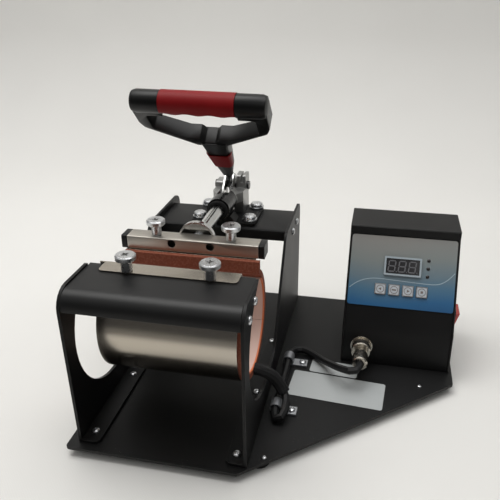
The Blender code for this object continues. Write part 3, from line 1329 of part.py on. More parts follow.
def control_panel():
    """The bent front sheet: an upright foot and the sloped panel, between the cover's sides."""
    margin = BOX_SHEET + SEAT
    seam = Vector((FRONT + BOX_SEAM_BACK + PANEL_SETBACK, DECK + BOX_SEAM_UP))
    lower = Vector((math.sin(LOWER_TILT), -math.cos(LOWER_TILT)))
    upper = Vector((math.sin(PANEL_TILT), -math.cos(PANEL_TILT)))
    inner_seam = seam + (lower + upper) * (BOX_SHEET / (1 + lower.dot(upper)))
    top = PANEL_FRAME @ Vector((0, PANEL_SLOPE - SEAT, 0))
    inner_top = PANEL_FRAME @ Vector((0, PANEL_SLOPE - SEAT, -BOX_SHEET))
    sheet = [(PANEL_FRONT, FLOOR_SEAT), tuple(seam), (top.y, top.z), (inner_top.y, inner_top.z),
             tuple(inner_seam), (PANEL_FRONT + BOX_SHEET / math.sin(LOWER_TILT), FLOOR_SEAT)]
    panel = prism("control_panel", [sheet], BOX_WIDTH - 2 * margin, across(BOX_X + margin), BLACK_COAT)
    panel_hole(panel, -BOX_SHEET - OVERRUN / 2, OVERRUN / 2)
    combine(panel, cylinder("socket_hole", (0, 0, -BOX_SHEET - OVERRUN), (0, 0, OVERRUN), SOCKET_HOLE,
                            frame=CONNECTOR_FRAME))
    return panel


def panel_overlay():
    """The printed overlay on the sloped panel."""
    left = BOX_SHEET + SEAT + OVERLAY_MARGIN
    outline = rectangle(left, OVERLAY_START, BOX_WIDTH - left, OVERLAY_START + OVERLAY_LENGTH,
                        OVERLAY_CORNER)
    overlay = prism("panel_overlay", [outline], OVERLAY_THICK, PANEL_FRAME @ level(SEAT), OVERLAY_BLUE)
    return panel_hole(overlay, -OVERRUN / 8, OVERRUN)


def display():
    """The display module: a rim on the overlay, a sunken window and a body down to the board."""
    seat = 2 * SEAT + OVERLAY_THICK
    a, b, c, d = display_rectangle(0)
    outline = rectangle(a, b, c, d, DISPLAY_CORNER)
    module = prism("display_module", [outline], DISPLAY_PROUD, PANEL_FRAME @ level(seat), DISPLAY_BLACK)
    a, b, c, d = display_rectangle(-DISPLAY_RIM)
    join(module, box("display_body", (a, b, -BOARD_DEPTH + SEAT), (c, d, seat + DISPLAY_PROUD / 2),
                     frame=PANEL_FRAME))
    top = seat + DISPLAY_PROUD
    combine(module, box("display_window", (a, b, top - DISPLAY_SINK), (c, d, top + OVERRUN),
                        frame=PANEL_FRAME))
    return module


def buttons():
    """Four square buttons, each held behind the panel by its flange."""
    top = 2 * SEAT + OVERLAY_THICK + BUTTON_PROUD
    flange = -BOX_SHEET - SEAT
    half = BUTTON_HALF
    wide = half + BUTTON_FLANGE_MARGIN
    middle = flange - BUTTON_FLANGE / 2
    for k, (x, up) in enumerate(button_spots()):
        name = "button_%d" % (k + 1)
        frame = PANEL_FRAME @ Matrix.Translation((x, up, 0))
        button = prism(name, [rectangle(-half, -half, half, half, BUTTON_CORNER)], top - middle,
                       frame @ level(middle), BUTTON_GREY)
        join(button, box(name + "_flange", (-wide, -wide, flange - BUTTON_FLANGE), (wide, wide, flange),
                         frame=frame))
        axis = group_at(name + "_axis", frame)
        carry(axis, frame, button)


def control_board():
    """The circuit board behind the panel, with standoffs and the buttons' switches."""
    left = (BOX_WIDTH - BOARD_WIDTH) / 2
    top = -BOARD_DEPTH
    board = box("control_board", (left, BOARD_START, top - BOARD_THICK),
                (left + BOARD_WIDTH, BOARD_START + BOARD_LENGTH, top), BOARD_GREEN, PANEL_FRAME)
    for x in (left + STANDOFF_INSET, left + BOARD_WIDTH - STANDOFF_INSET):
        for up in (BOARD_START + STANDOFF_INSET, BOARD_START + BOARD_LENGTH - STANDOFF_INSET):
            join(board, cylinder("standoff", (x, up, top - BOARD_THICK / 2), (x, up, -BOX_SHEET - SEAT),
                                 STANDOFF_RADIUS, segments=STANDOFF_SIDES, frame=PANEL_FRAME))
    switch_top = -BOX_SHEET - SEAT - BUTTON_FLANGE - BUTTON_TRAVEL - TACT_GAP
    for x, up in button_spots():
        join(board, box("tact_switch", (x - TACT_HALF, up - TACT_HALF, top - BOARD_THICK / 2),
                        (x + TACT_HALF, up + TACT_HALF, switch_top), frame=PANEL_FRAME))
    return board


def transformer():
    """The transformer that feeds the board, bolted to the base plate."""
    x, y = BOX_X + TRANSFORMER_LEFT, FRONT + BOX_SEAM_BACK + TRANSFORMER_BACK
    extra = (TRANSFORMER_FOOT - TRANSFORMER_WIDTH) / 2
    body = box("transformer", (x, y, FLOOR_SEAT), (x + TRANSFORMER_WIDTH, y + TRANSFORMER_DEPTH,
                                                   FLOOR_SEAT + TRANSFORMER_HEIGHT), DARK_STEEL)
    middle = y + TRANSFORMER_DEPTH / 2
    quarter = TRANSFORMER_DEPTH / 4
    foot = box("transformer_foot", (x - extra, middle - quarter, FLOOR_SEAT),
               (x + TRANSFORMER_WIDTH + extra, middle + quarter, FLOOR_SEAT + TRANSFORMER_FOOT_THICK))
    return join(body, foot)


# Power switch and inlet
SWITCH_Y = FRONT + SWITCH_BACK
SWITCH_Z = DECK + SWITCH_UP
WALL_X = BOX_X + BOX_WIDTH
ROCKER_HALF = SWITCH_HEIGHT / 2 - ROCKER_GAP
ROCKER_REACH = ROCKER_FACE * math.cos(ROCKER_TILT) + ROCKER_HALF * math.sin(ROCKER_TILT)
ROCKER_PIVOT = Vector((WALL_X + ROCKER_STAND - ROCKER_REACH, SWITCH_Y, SWITCH_Z))
INLET_X = BOX_X + BOX_WIDTH - INLET_RIGHT
INLET_Z = DECK + INLET_UP


def switch_housing():
    """The rocker's housing: a rim outside the wall and an open body through it."""
    half_y = SWITCH_WIDTH / 2 + SWITCH_WALL
    half_z = SWITCH_HEIGHT / 2 + SWITCH_WALL
    rim = SWITCH_RIM
    outline = rectangle(SWITCH_Y - half_y - rim, SWITCH_Z - half_z - rim, SWITCH_Y + half_y + rim,
                        SWITCH_Z + half_z + rim, rim)
    housing = prism("switch_housing", [outline], SWITCH_RIM_PROUD, across(WALL_X + SEAT), BLACK_PLASTIC)
    back = WALL_X - BOX_SHEET - SWITCH_BODY_DEPTH
    join(housing, box("switch_body", (back, SWITCH_Y - half_y, SWITCH_Z - half_z),
                      (WALL_X + SEAT + SWITCH_RIM_PROUD / 2, SWITCH_Y + half_y, SWITCH_Z + half_z)))
    combine(housing, box("switch_cavity", (back + SWITCH_BACK_WALL, SWITCH_Y - SWITCH_WIDTH / 2,
                                           SWITCH_Z - SWITCH_HEIGHT / 2),
                         (WALL_X + SWITCH_RIM_PROUD + OVERRUN, SWITCH_Y + SWITCH_WIDTH / 2,
                          SWITCH_Z + SWITCH_HEIGHT / 2)))
    reach = Vector((0, SWITCH_WIDTH / 2 + SWITCH_WALL + OVERRUN, 0))
    combine(housing, cylinder("rocker_pin_bore", ROCKER_PIVOT - reach, ROCKER_PIVOT + reach, ROCKER_PIN_BORE,
                              segments=SMALL_SEGMENTS))
    return housing


def rocker():
    """The red rocker, tilted to its off position, with a pin at each side."""
    frame = Matrix.Translation(ROCKER_PIVOT) @ Matrix.Rotation(ROCKER_TILT, 4, "Y")
    half_y = SWITCH_WIDTH / 2 - ROCKER_GAP
    outline = [(-ROCKER_ROOT, -ROCKER_HALF), (ROCKER_FACE, -ROCKER_HALF), (ROCKER_FACE - ROCKER_DIP, 0),
               (ROCKER_FACE, ROCKER_HALF), (-ROCKER_ROOT, ROCKER_HALF)]
    body = prism("power_rocker", [outline], 2 * half_y, frame @ facing_front(half_y), RED_PLASTIC)
    reach = SWITCH_WIDTH / 2 + ROCKER_PIN_REACH
    join(body, cylinder("rocker_pins", (0, -reach, 0), (0, reach, 0), ROCKER_PIN_RADIUS,
                        segments=SMALL_SEGMENTS, frame=frame))
    axis = group_at("rocker_axis", frame)
    carry(axis, frame, body)
    return body


def power_inlet():
    """The mains inlet on the back: a flange outside, an open shroud and three blades."""
    rear = FRONT + BOX_REAR
    half_x, half_z = INLET_WIDTH / 2, INLET_HEIGHT / 2
    lip = INLET_FLANGE
    outline = rectangle(INLET_X - half_x - lip, INLET_Z - half_z - lip, INLET_X + half_x + lip,
                        INLET_Z + half_z + lip, INLET_CORNER)
    outer = rear + SEAT + INLET_FLANGE_THICK
    inlet = prism("power_inlet", [outline], INLET_FLANGE_THICK, facing_front(outer), BLACK_PLASTIC)
    join(inlet, box("inlet_body", (INLET_X - half_x, rear - INLET_DEPTH, INLET_Z - half_z),
                    (INLET_X + half_x, outer - INLET_FLANGE_THICK / 2, INLET_Z + half_z)))
    wall = INLET_WALL
    floor = outer - INLET_SOCKET_DEPTH
    combine(inlet, box("inlet_socket", (INLET_X - half_x + wall, floor, INLET_Z - half_z + wall),
                       (INLET_X + half_x - wall, outer + OVERRUN, INLET_Z + half_z - wall)))
    thick, tall = INLET_PIN_WIDTH / 2, INLET_PIN_HEIGHT / 2
    for k in (-1, 0, 1):
        x = INLET_X + k * INLET_PIN_PITCH
        join(inlet, box("inlet_blade", (x - thick, floor - wall / 2, INLET_Z - tall),
                        (x + thick, floor + INLET_PIN_LENGTH, INLET_Z + tall)))
    return inlet


# Heater connector
CONNECTOR_BASE = Vector((
    BOX_X + CONNECTOR_RIGHT,
    PANEL_FRONT + CONNECTOR_UP / math.tan(LOWER_TILT),
    DECK + CONNECTOR_UP,
))
CONNECTOR_FRAME = Matrix.Translation(CONNECTOR_BASE) @ Matrix.Rotation(LOWER_TILT, 4, "X")


def connector_socket():
    """The panel socket: a flange outside the panel, its body behind and a barrel in front."""
    floor = SOCKET_BARREL_END - SOCKET_BORE_DEPTH
    flange = SEAT + SOCKET_FLANGE
    profile = [
        (SOCKET_BORE, SOCKET_BARREL_END), (SOCKET_BARREL_RADIUS, SOCKET_BARREL_END),
        (SOCKET_BARREL_RADIUS, flange), (SOCKET_FLANGE_RADIUS, flange), (SOCKET_FLANGE_RADIUS, SEAT),
        (SOCKET_RADIUS, SEAT), (SOCKET_RADIUS, -SOCKET_INSIDE), (0, -SOCKET_INSIDE),
    ]
    bore = [(0, floor), (SOCKET_BORE, floor)]
    return turned("connector_socket", bore + profile, CONNECTOR_FRAME, ZINC)


def connector_plug():
    """The cable plug: its core in the socket, a waist, and a body bored for the cable."""
    waist = PLUG_BODY_START + PLUG_WAIST_LENGTH
    chamfer = PLUG_CHAMFER
    profile = [
        (0, PLUG_END - PLUG_BORE_DEPTH), (PLUG_BORE, PLUG_END - PLUG_BORE_DEPTH), (PLUG_BORE, PLUG_END),
        (PLUG_BODY_RADIUS - chamfer, PLUG_END), (PLUG_BODY_RADIUS, PLUG_END - chamfer),
        (PLUG_BODY_RADIUS, waist + chamfer), (PLUG_WAIST_RADIUS, waist),
        (PLUG_WAIST_RADIUS, PLUG_BODY_START), (PLUG_CORE_RADIUS, PLUG_BODY_START),
        (PLUG_CORE_RADIUS, PLUG_CORE_START), (0, PLUG_CORE_START),
    ]
    return turned("connector_plug", profile, CONNECTOR_FRAME, ZINC)


def connector_ring():
    """The plug's coupling nut, which turns round the socket's barrel."""
    chamfer = RING_CHAMFER
    lip = RING_END - RING_LIP
    profile = [
        (RING_LIP_BORE, RING_END), (RING_RADIUS - chamfer, RING_END), (RING_RADIUS, RING_END - chamfer),
        (RING_RADIUS, RING_START + chamfer), (RING_RADIUS - chamfer, RING_START), (RING_BORE, RING_START),
        (RING_BORE, lip), (RING_LIP_BORE, lip),
    ]
    ring = turned("connector_ring", profile, CONNECTOR_FRAME, ZINC)
    axis = group_at("connector_ring_axis", CONNECTOR_FRAME)
    carry(axis, CONNECTOR_FRAME, ring)
    return ring


# Heater lead
def smooth_route(points, spacing):
    """Evenly spaced points along a smooth curve through the route's own points."""
    ends = [2 * points[0] - points[1], *points, 2 * points[-1] - points[-2]]
    fine = []
    steps = 24
    for k in range(len(points) - 1):
        p0, p1, p2, p3 = ends[k:k + 4]
        for j in range(steps):
            t = j / steps
            fine.append(0.5 * (2 * p1 + (p2 - p0) * t + (2 * p0 - 5 * p1 + 4 * p2 - p3) * t * t
                               + (3 * p1 - p0 - 3 * p2 + p3) * t ** 3))
    fine.append(points[-1])
    total = sum((b - a).length for a, b in zip(fine, fine[1:]))
    count = max(2, round(total / spacing))
    chosen, travelled, goal = [fine[0]], 0.0, total / count
    for a, b in zip(fine, fine[1:]):
        step = (b - a).length
        while travelled + step >= goal and len(chosen) < count:
            chosen.append(a.lerp(b, (goal - travelled) / step))
            goal += total / count
        travelled += step
    return chosen + [fine[-1]]


def on_plate(point):
    """A point measured from the base plate's left edge, front edge and top face."""
    return Vector((LEFT + point[0], FRONT + point[1], DECK + point[2]))


def lead_points():
    """The whole lead's route, from inside the plug to the heater's right end."""
    start = [CONNECTOR_FRAME @ Vector((0, 0, PLUG_END - PLUG_BORE_DEPTH + SEAT)),
             CONNECTOR_FRAME @ Vector((0, 0, PLUG_END + LEAD_RADIUS / 2))]
    end = tuple((right, back, HEATER_UP + up) for right, back, up in LEAD_END_ROUTE)
    return start + [on_plate(point) for point in LEAD_PLUG_ROUTE + LEAD_ROUTE + end]


def trim_at_heater(target):
    """Cut a lead or sleeve off square, just short of the heater's right end."""
    end = lead_points()[-1]
    reach = SLEEVE_RADIUS + OVERRUN
    low = Vector((end.x - reach, end.y - reach, end.z - reach))
    return combine(target, box("trim", low, (HEATER_RIGHT + SEAT, end.y + reach, end.z + reach)))


def heater_lead():
    """The cable, held all the way from its plug to the heater."""
    lead = tube("heater_lead", smooth_route(lead_points(), LEAD_SPACING), LEAD_RADIUS, BLACK_RUBBER)
    return trim_at_heater(lead)


def lead_sleeve():
    """The thick fibre sleeve round the lead's last stretch, down from the heater."""
    whole = smooth_route(lead_points(), LEAD_SPACING)
    path = whole[-SLEEVE_POINTS:]
    sleeve = tube("lead_sleeve", path, SLEEVE_RADIUS, BLACK_RUBBER, 3)
    last = path[-1] + (path[-1] - path[-2]).normalized() * OVERRUN
    combine(sleeve, tube("sleeve_bore", [*whole[-SLEEVE_POINTS - 1:-1], last], SLEEVE_BORE, None, 3))
    return trim_at_heater(sleeve)


def lead_clips():
    """P-clips that hold the lead to the base plate."""
    outer = CLIP_RADIUS + CLIP_SHEET
    x, z = LEFT + CLIP_RIGHT, FLOOR_SEAT + outer
    tab_top = FLOOR_SEAT + CLIP_TAB_THICK
    loop = arc((x, z), outer, -math.asin((z - tab_top) / outer), 1.5 * math.pi, math.radians(15))
    outline = loop + [(x + CLIP_REACH, FLOOR_SEAT), (x + CLIP_REACH, tab_top)]
    for name, back in zip(("lead_clip_front", "lead_clip_rear"), CLIP_BACKS):
        y = FRONT + back
        clip = prism(name, [outline, circle(x, z, CLIP_RADIUS)], CLIP_WIDTH,
                     facing_front(y + CLIP_WIDTH / 2), ZINC_GREY)
        drill(clip, x + CLIP_REACH - CLIP_HOLE_MARGIN, y, FLOOR_SEAT - OVERRUN / 2, tab_top + OVERRUN,
              CLIP_HOLE_RADIUS)


def build():
    """Make every piece of the press."""
    base_plate()
    feet()
    side_plate("side_plate_left", -1)
    side_plate("side_plate_right", 1)
    front_cover()
    rear_crossbar()
    heater_shell_front()
    heater_shell_rear()
    heater_sponges()
    heater_mats()
    pressing_bar()
    bar_cap("bar_cap_left", -1)
    bar_cap("bar_cap_right", 1)
    cover_spots = thumb_spots(FRONT + COVER_THUMB_BACK, COVER_THUMB_SHIFT)
    bar_spots = thumb_spots(FRONT + BAR_FRONT + BAR_DEPTH / 2)
    for side, (x, y) in zip(("left", "right"), cover_spots):
        thumb_screw("cover_thumb_screw_" + side, x, y, STRIP_UNDER + SHELL_SHEET)
    for side, (x, y) in zip(("left", "right"), bar_spots):
        thumb_screw("bar_thumb_screw_" + side, x, y, BAR_HIGH)
    clamp_flange()
    clamp_body()
    clamp_collar()
    clamp_bolts()
    plunger()
    plunger_cup()
    cup_bolt()
    lever_pin()
    lever_pieces = [lever(), handle_frame(), handle_grip(), stem_band()]
    carry(group_at("lever_axis", LEVER_FRAME), LEVER_FRAME, *lever_pieces)
    link = toggle_link()
    carry(group_at("link_axis", LINK_FRAME), LINK_FRAME, link)
    control_cover()
    control_panel()
    panel_overlay()
    display()
    buttons()
    control_board()
    transformer()
    switch_housing()
    rocker()
    power_inlet()
    connector_socket()
    connector_plug()
    connector_ring()
    heater_lead()
    lead_sleeve()
    lead_clips()


build()
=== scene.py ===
"""The looks of the mug heat press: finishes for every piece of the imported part, the small fasteners,
the display's digits and the stickers, a pale studio and the camera."""

import json
import math

import bmesh
import bpy
from mathutils import Matrix, Vector

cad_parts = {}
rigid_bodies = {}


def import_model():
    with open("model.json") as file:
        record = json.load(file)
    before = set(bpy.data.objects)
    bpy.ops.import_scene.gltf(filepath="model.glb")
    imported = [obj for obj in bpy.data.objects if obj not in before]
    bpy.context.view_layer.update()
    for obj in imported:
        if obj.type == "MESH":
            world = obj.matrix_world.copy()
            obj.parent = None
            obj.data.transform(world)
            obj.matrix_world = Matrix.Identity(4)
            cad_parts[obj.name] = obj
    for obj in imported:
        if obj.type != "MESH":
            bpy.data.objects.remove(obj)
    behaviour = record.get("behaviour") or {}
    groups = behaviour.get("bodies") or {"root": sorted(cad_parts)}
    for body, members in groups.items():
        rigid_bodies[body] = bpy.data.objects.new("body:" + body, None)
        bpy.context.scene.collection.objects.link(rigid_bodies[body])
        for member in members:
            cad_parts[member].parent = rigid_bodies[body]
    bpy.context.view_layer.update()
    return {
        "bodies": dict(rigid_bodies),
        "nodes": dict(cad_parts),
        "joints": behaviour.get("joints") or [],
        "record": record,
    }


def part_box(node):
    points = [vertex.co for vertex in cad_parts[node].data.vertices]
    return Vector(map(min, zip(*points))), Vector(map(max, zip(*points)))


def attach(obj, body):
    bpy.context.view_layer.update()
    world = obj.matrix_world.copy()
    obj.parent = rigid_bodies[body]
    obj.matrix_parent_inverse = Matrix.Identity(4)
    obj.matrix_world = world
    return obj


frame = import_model()
NODES = frame["nodes"]

# Datums of the press, in metres; the panel's are back from the base plate's front and up from its deck,
# and the clamp's casting starts behind its guide barrel
DECK = 0.0098
PLATE_FRONT = -0.1398
CENTRE_X = -0.0793
CAST_START = 0.0902
CAST_BLUR = 0.0002
BOX_X = 0.0504
BOX_WIDTH = 0.1016
PANEL_FOOT_BACK = 0.1640
PANEL_FOOT_UP = 0.0378
PANEL_HEAD_BACK = 0.2079
PANEL_HEAD_UP = 0.1172
PANEL_INSET = 0.0014
PANEL_LENGTH = 0.0907
PANEL_TILT = math.atan2(PANEL_HEAD_UP - PANEL_FOOT_UP, PANEL_HEAD_BACK - PANEL_FOOT_BACK)
PANEL_FOOT = (BOX_X, PLATE_FRONT + PANEL_FOOT_BACK + PANEL_INSET, DECK + PANEL_FOOT_UP)
PANEL_FRAME = Matrix.Translation(PANEL_FOOT) @ Matrix.Rotation(PANEL_TILT, 4, "X")


# Shader maths
NOISE_ROUGHNESS = 0.55
BEVEL_SAMPLES = 4


class Field:
    """A shader socket that takes part in arithmetic."""

    def __init__(self, tree, socket):
        self.tree = tree
        self.socket = socket

    def node(self, kind, settings=None, inputs=None, output=0):
        """Any other node: its settings first, then the values or links of its sockets."""
        made = self.tree.nodes.new(kind)
        for key, value in (settings or {}).items():
            if key == "stops":
                fill_ramp(made, value)
            else:
                setattr(made, key, value)
        for key, value in (inputs or {}).items():
            put(self.tree, made.inputs[key], value)
        return Field(self.tree, made.outputs[output])

    def maths(self, operation, *values):
        return self.node("ShaderNodeMath", {"operation": operation}, dict(enumerate(values)))

    def __add__(self, other):
        return self.maths("ADD", self, other)

    def __radd__(self, other):
        return self.maths("ADD", other, self)

    def __sub__(self, other):
        return self.maths("SUBTRACT", self, other)

    def __rsub__(self, other):
        return self.maths("SUBTRACT", other, self)

    def __mul__(self, other):
        return self.maths("MULTIPLY", self, other)

    def __rmul__(self, other):
        return self.maths("MULTIPLY", other, self)

    def __truediv__(self, other):
        return self.maths("DIVIDE", self, other)

    def above(self, low, high):
        """0 below low, 1 above high, smooth between."""
        return self.node("ShaderNodeMapRange", {"interpolation_type": "SMOOTHSTEP", "clamp": True},
                         {"Value": self, "From Min": low, "From Max": high})

    def most(self, other):
        return self.maths("MAXIMUM", self, other)

    def wave(self):
        return self.maths("SINE", self)

    def size(self):
        return self.maths("ABSOLUTE", self)


def put(tree, socket, value):
    """Link a field to a socket, or set the socket's own value."""
    if isinstance(value, Field):
        tree.links.new(value.socket, socket)
    else:
        socket.default_value = value


def fill_ramp(node, stops):
    """Set a ramp's stops from (place, colour) pairs."""
    elements = node.color_ramp.elements
    while len(elements) < len(stops):
        elements.new(0.5)
    for element, (place, colour) in zip(elements, stops):
        element.position = place
        element.color = colour


def rgb(red, green, blue):
    return (red, green, blue, 1.0)


class Finish:
    """A material with its Principled shader and the fields that its pattern is made from."""

    def __init__(self, name, colour, roughness, **constants):
        self.material = bpy.data.materials.new(name)
        self.material.use_nodes = True
        self.tree = self.material.node_tree
        self.shader = self.tree.nodes["Principled BSDF"]
        self.shader.inputs["Base Color"].default_value = rgb(*colour)
        self.shader.inputs["Roughness"].default_value = roughness
        for key, value in constants.items():
            self.shader.inputs[key.replace("_", " ")].default_value = value
        self.start = Field(self.tree, None)
        self.place = self.start.node("ShaderNodeTexCoord", output="Object")
        self.normal = self.start.node("ShaderNodeNewGeometry", output="Normal")

    def axis(self, name, source=None):
        """One coordinate of a place."""
        return self.start.node("ShaderNodeSeparateXYZ", inputs={0: source or self.place}, output=name)

    def stretched(self, x, y, z):
        """The place, scaled along each axis."""
        return self.start.node("ShaderNodeVectorMath", {"operation": "MULTIPLY"},
                               {0: self.place, 1: (x, y, z)})

    def noise(self, scale, detail=3.0, source=None):
        return self.start.node("ShaderNodeTexNoise", {"noise_dimensions": "3D"},
                               {"Vector": source or self.place, "Scale": scale, "Detail": detail,
                                "Roughness": NOISE_ROUGHNESS})

    def cells(self, scale, randomness=1.0):
        """The distance from the nearest of many scattered points."""
        return self.start.node("ShaderNodeTexVoronoi", {"feature": "F1"},
                               {"Vector": self.place, "Scale": scale, "Randomness": randomness}, "Distance")

    def mix(self, factor, first, second):
        """A colour between two."""
        node = self.tree.nodes.new("ShaderNodeMix")
        node.data_type = "RGBA"
        put(self.tree, node.inputs[0], factor)
        put(self.tree, node.inputs[6], first if isinstance(first, Field) else rgb(*first))
        put(self.tree, node.inputs[7], second if isinstance(second, Field) else rgb(*second))
        return Field(self.tree, node.outputs[2])

    def edge(self, radius):
        """How far the rounded normal leaves the true one: high along edges."""
        soft = self.rounded(radius)
        return 1.0 - self.start.node("ShaderNodeVectorMath", {"operation": "DOT_PRODUCT"},
                                     {0: soft, 1: self.normal}, "Value")

    def bump(self, height, distance, strength=1.0, normal=None):
        inputs = {"Height": height, "Distance": distance, "Strength": strength}
        if normal:
            inputs["Normal"] = normal
        return self.start.node("ShaderNodeBump", None, inputs)

    def rounded(self, radius):
        """A normal that rounds the edges by a radius."""
        return self.start.node("ShaderNodeBevel", {"samples": BEVEL_SAMPLES}, {"Radius": radius})

    def set(self, **fields):
        for key, value in fields.items():
            put(self.tree, self.shader.inputs[key.replace("_", " ")], value)
        return self.material


# Finishes
def powder_coat():
    """Black powder coat: a fine orange peel, dust and thin bright nicks along the edges."""
    f = Finish("black_powder_coat", (0.005, 0.005, 0.0052), 0.44, Specular_IOR_Level=0.26)
    peel = f.noise(1400.0, 2.0)
    cloud = f.noise(14.0, 4.0)
    speck = f.cells(420.0).above(0.10, 0.16)
    sparse = f.noise(60.0, 2.0).above(0.60, 0.66)
    dust = (1.0 - speck) * sparse * 0.5
    up = f.axis("Z", f.normal).above(0.7, 0.95)
    worn = f.edge(0.0005).above(0.03, 0.16) * f.noise(180.0, 3.0).above(0.35, 0.62)
    colour = f.mix(cloud, (0.0032, 0.0032, 0.0034), (0.0065, 0.0065, 0.0067))
    colour = f.mix(dust * (0.15 + 0.5 * up), colour, (0.16, 0.16, 0.15))
    colour = f.mix(worn * 0.5, colour, (0.14, 0.135, 0.125))
    return f.set(Base_Color=colour, Roughness=0.38 + cloud * 0.12 + peel * 0.05,
                 Normal=f.bump(peel, 0.00006, 0.35, f.rounded(0.0004)))


def satin_sheet():
    """The front cover's smoother dark sheet."""
    f = Finish("satin_black_sheet", (0.008, 0.008, 0.0082), 0.36, Specular_IOR_Level=0.34)
    cloud = f.noise(9.0, 3.0)
    grain = f.noise(900.0, 2.0)
    worn = f.edge(0.0006).above(0.03, 0.16) * f.noise(140.0, 3.0).above(0.38, 0.62)
    colour = f.mix(cloud, (0.0055, 0.0055, 0.0056), (0.0105, 0.0105, 0.0108))
    colour = f.mix(worn * 0.5, colour, (0.15, 0.145, 0.135))
    return f.set(Base_Color=colour, Roughness=0.34 + cloud * 0.10 + grain * 0.04,
                 Normal=f.bump(grain, 0.00004, 0.25, f.rounded(0.0005)))


def heater_steel():
    """Brushed stainless sheet: streaks along its width, faint rub marks and a warm tint."""
    f = Finish("brushed_heater_steel", (0.52, 0.485, 0.42), 0.30, Metallic=1.0)
    streak = f.noise(260.0, 4.0, source=f.stretched(0.03, 1.0, 1.0))
    fine = f.noise(1500.0, 2.0, source=f.stretched(0.02, 1.0, 1.0))
    cloud = f.noise(18.0, 3.0)
    colour = f.mix(streak, (0.48, 0.43, 0.37), (0.54, 0.50, 0.435))
    colour = f.mix(cloud.above(0.45, 0.7) * 0.3, colour, (0.50, 0.45, 0.36))
    return f.set(Base_Color=colour, Roughness=0.14 + fine * 0.08 + cloud * 0.05,
                 Normal=f.bump(fine, 0.000006, 0.08, f.rounded(0.0003)))


def bar_steel():
    """The press bar's plain stainless, brushed along its length."""
    f = Finish("brushed_bar_steel", (0.60, 0.58, 0.53), 0.32, Metallic=1.0)
    streak = f.noise(420.0, 4.0, source=f.stretched(0.03, 1.0, 1.0))
    cloud = f.noise(30.0, 3.0)
    colour = f.mix(streak, (0.42, 0.395, 0.355), (0.60, 0.57, 0.52))
    return f.set(Base_Color=colour, Roughness=0.27 + streak * 0.14 + cloud * 0.05,
                 Normal=f.bump(streak, 0.00002, 0.3, f.rounded(0.0004)))


def chrome():
    """Cast and plated steel, slightly uneven in tone and roughness."""
    f = Finish("plated_clamp", (0.66, 0.66, 0.655), 0.18, Metallic=1.0)
    cloud = f.noise(60.0, 4.0)
    pit = f.noise(500.0, 3.0)
    colour = f.mix(cloud, (0.52, 0.52, 0.51), (0.74, 0.74, 0.73))
    return f.set(Base_Color=colour, Roughness=0.13 + cloud * 0.12 + pit.above(0.55, 0.8) * 0.15,
                 Normal=f.bump(pit, 0.00005, 0.25, f.rounded(0.0005)))


def clamp_casting():
    """The clamp's body: a glossy black guide barrel in front of a dull zinc casting."""
    f = Finish("clamp_casting", (0.40, 0.40, 0.39), 0.35, Metallic=0.9, Specular_IOR_Level=0.4)
    cloud = f.noise(70.0, 4.0)
    pit = f.noise(650.0, 3.0)
    barrel = 1.0 - f.axis("Y").above(CAST_START - CAST_BLUR, CAST_START + CAST_BLUR)
    colour = f.mix(cloud, (0.26, 0.26, 0.255), (0.46, 0.46, 0.45))
    colour = f.mix(barrel, colour, (0.009, 0.009, 0.0095))
    dull = 0.30 + cloud * 0.16 + pit.above(0.5, 0.8) * 0.12
    return f.set(Base_Color=colour, Roughness=dull - barrel * 0.16, Metallic=(1.0 - barrel) * 0.92,
                 Normal=f.bump(pit, 0.00008, 0.35, f.rounded(0.0006)))


def zinc():
    """Zinc plate on screws and bolts."""
    f = Finish("zinc_plate", (0.66, 0.67, 0.68), 0.24, Metallic=1.0)
    cloud = f.noise(120.0, 4.0)
    spangle = f.cells(380.0)
    colour = f.mix(cloud, (0.54, 0.55, 0.56), (0.76, 0.77, 0.79))
    return f.set(Base_Color=colour, Roughness=0.18 + cloud * 0.16 + spangle * 0.05,
                 Normal=f.bump(cloud, 0.00004, 0.25, f.rounded(0.0004)))


def nickel():
    """Warm nickel on the heater's connector."""
    f = Finish("warm_nickel", (0.60, 0.56, 0.49), 0.22, Metallic=1.0)
    cloud = f.noise(150.0, 3.0)
    colour = f.mix(cloud, (0.50, 0.46, 0.39), (0.70, 0.66, 0.59))
    return f.set(Base_Color=colour, Roughness=0.16 + cloud * 0.16, Normal=f.rounded(0.0003))


def dark_steel():
    """Blackened steel on the lever, its pin and the transformer."""
    f = Finish("dark_steel", (0.10, 0.10, 0.10), 0.38, Metallic=1.0)
    cloud = f.noise(90.0, 4.0)
    worn = f.edge(0.0005).above(0.02, 0.12)
    colour = f.mix(cloud, (0.07, 0.07, 0.072), (0.14, 0.138, 0.135))
    colour = f.mix(worn * 0.7, colour, (0.40, 0.39, 0.37))
    return f.set(Base_Color=colour, Roughness=0.30 + cloud * 0.2, Normal=f.rounded(0.0004))


def black_plastic():
    """Moulded black plastic with a fine spark texture."""
    f = Finish("moulded_black_plastic", (0.0045, 0.0045, 0.0046), 0.33, Specular_IOR_Level=0.28)
    cloud = f.noise(26.0, 3.0)
    grain = f.noise(1300.0, 2.0)
    colour = f.mix(cloud, (0.003, 0.003, 0.0031), (0.006, 0.006, 0.0061))
    return f.set(Base_Color=colour, Roughness=0.26 + cloud * 0.12 + grain * 0.06,
                 Normal=f.bump(grain, 0.00003, 0.3, f.rounded(0.0007)))


def red_plastic():
    """Red moulded plastic of the grip and the stem's band."""
    f = Finish("moulded_red_plastic", (0.22, 0.004, 0.006), 0.42, Specular_IOR_Level=0.2)
    cloud = f.noise(40.0, 3.0)
    grain = f.noise(1100.0, 2.0)
    colour = f.mix(cloud, (0.19, 0.003, 0.0045), (0.26, 0.005, 0.0075))
    return f.set(Base_Color=colour, Roughness=0.40 + grain * 0.12 + cloud * 0.08,
                 Normal=f.bump(grain, 0.00005, 0.4, f.rounded(0.0005)))


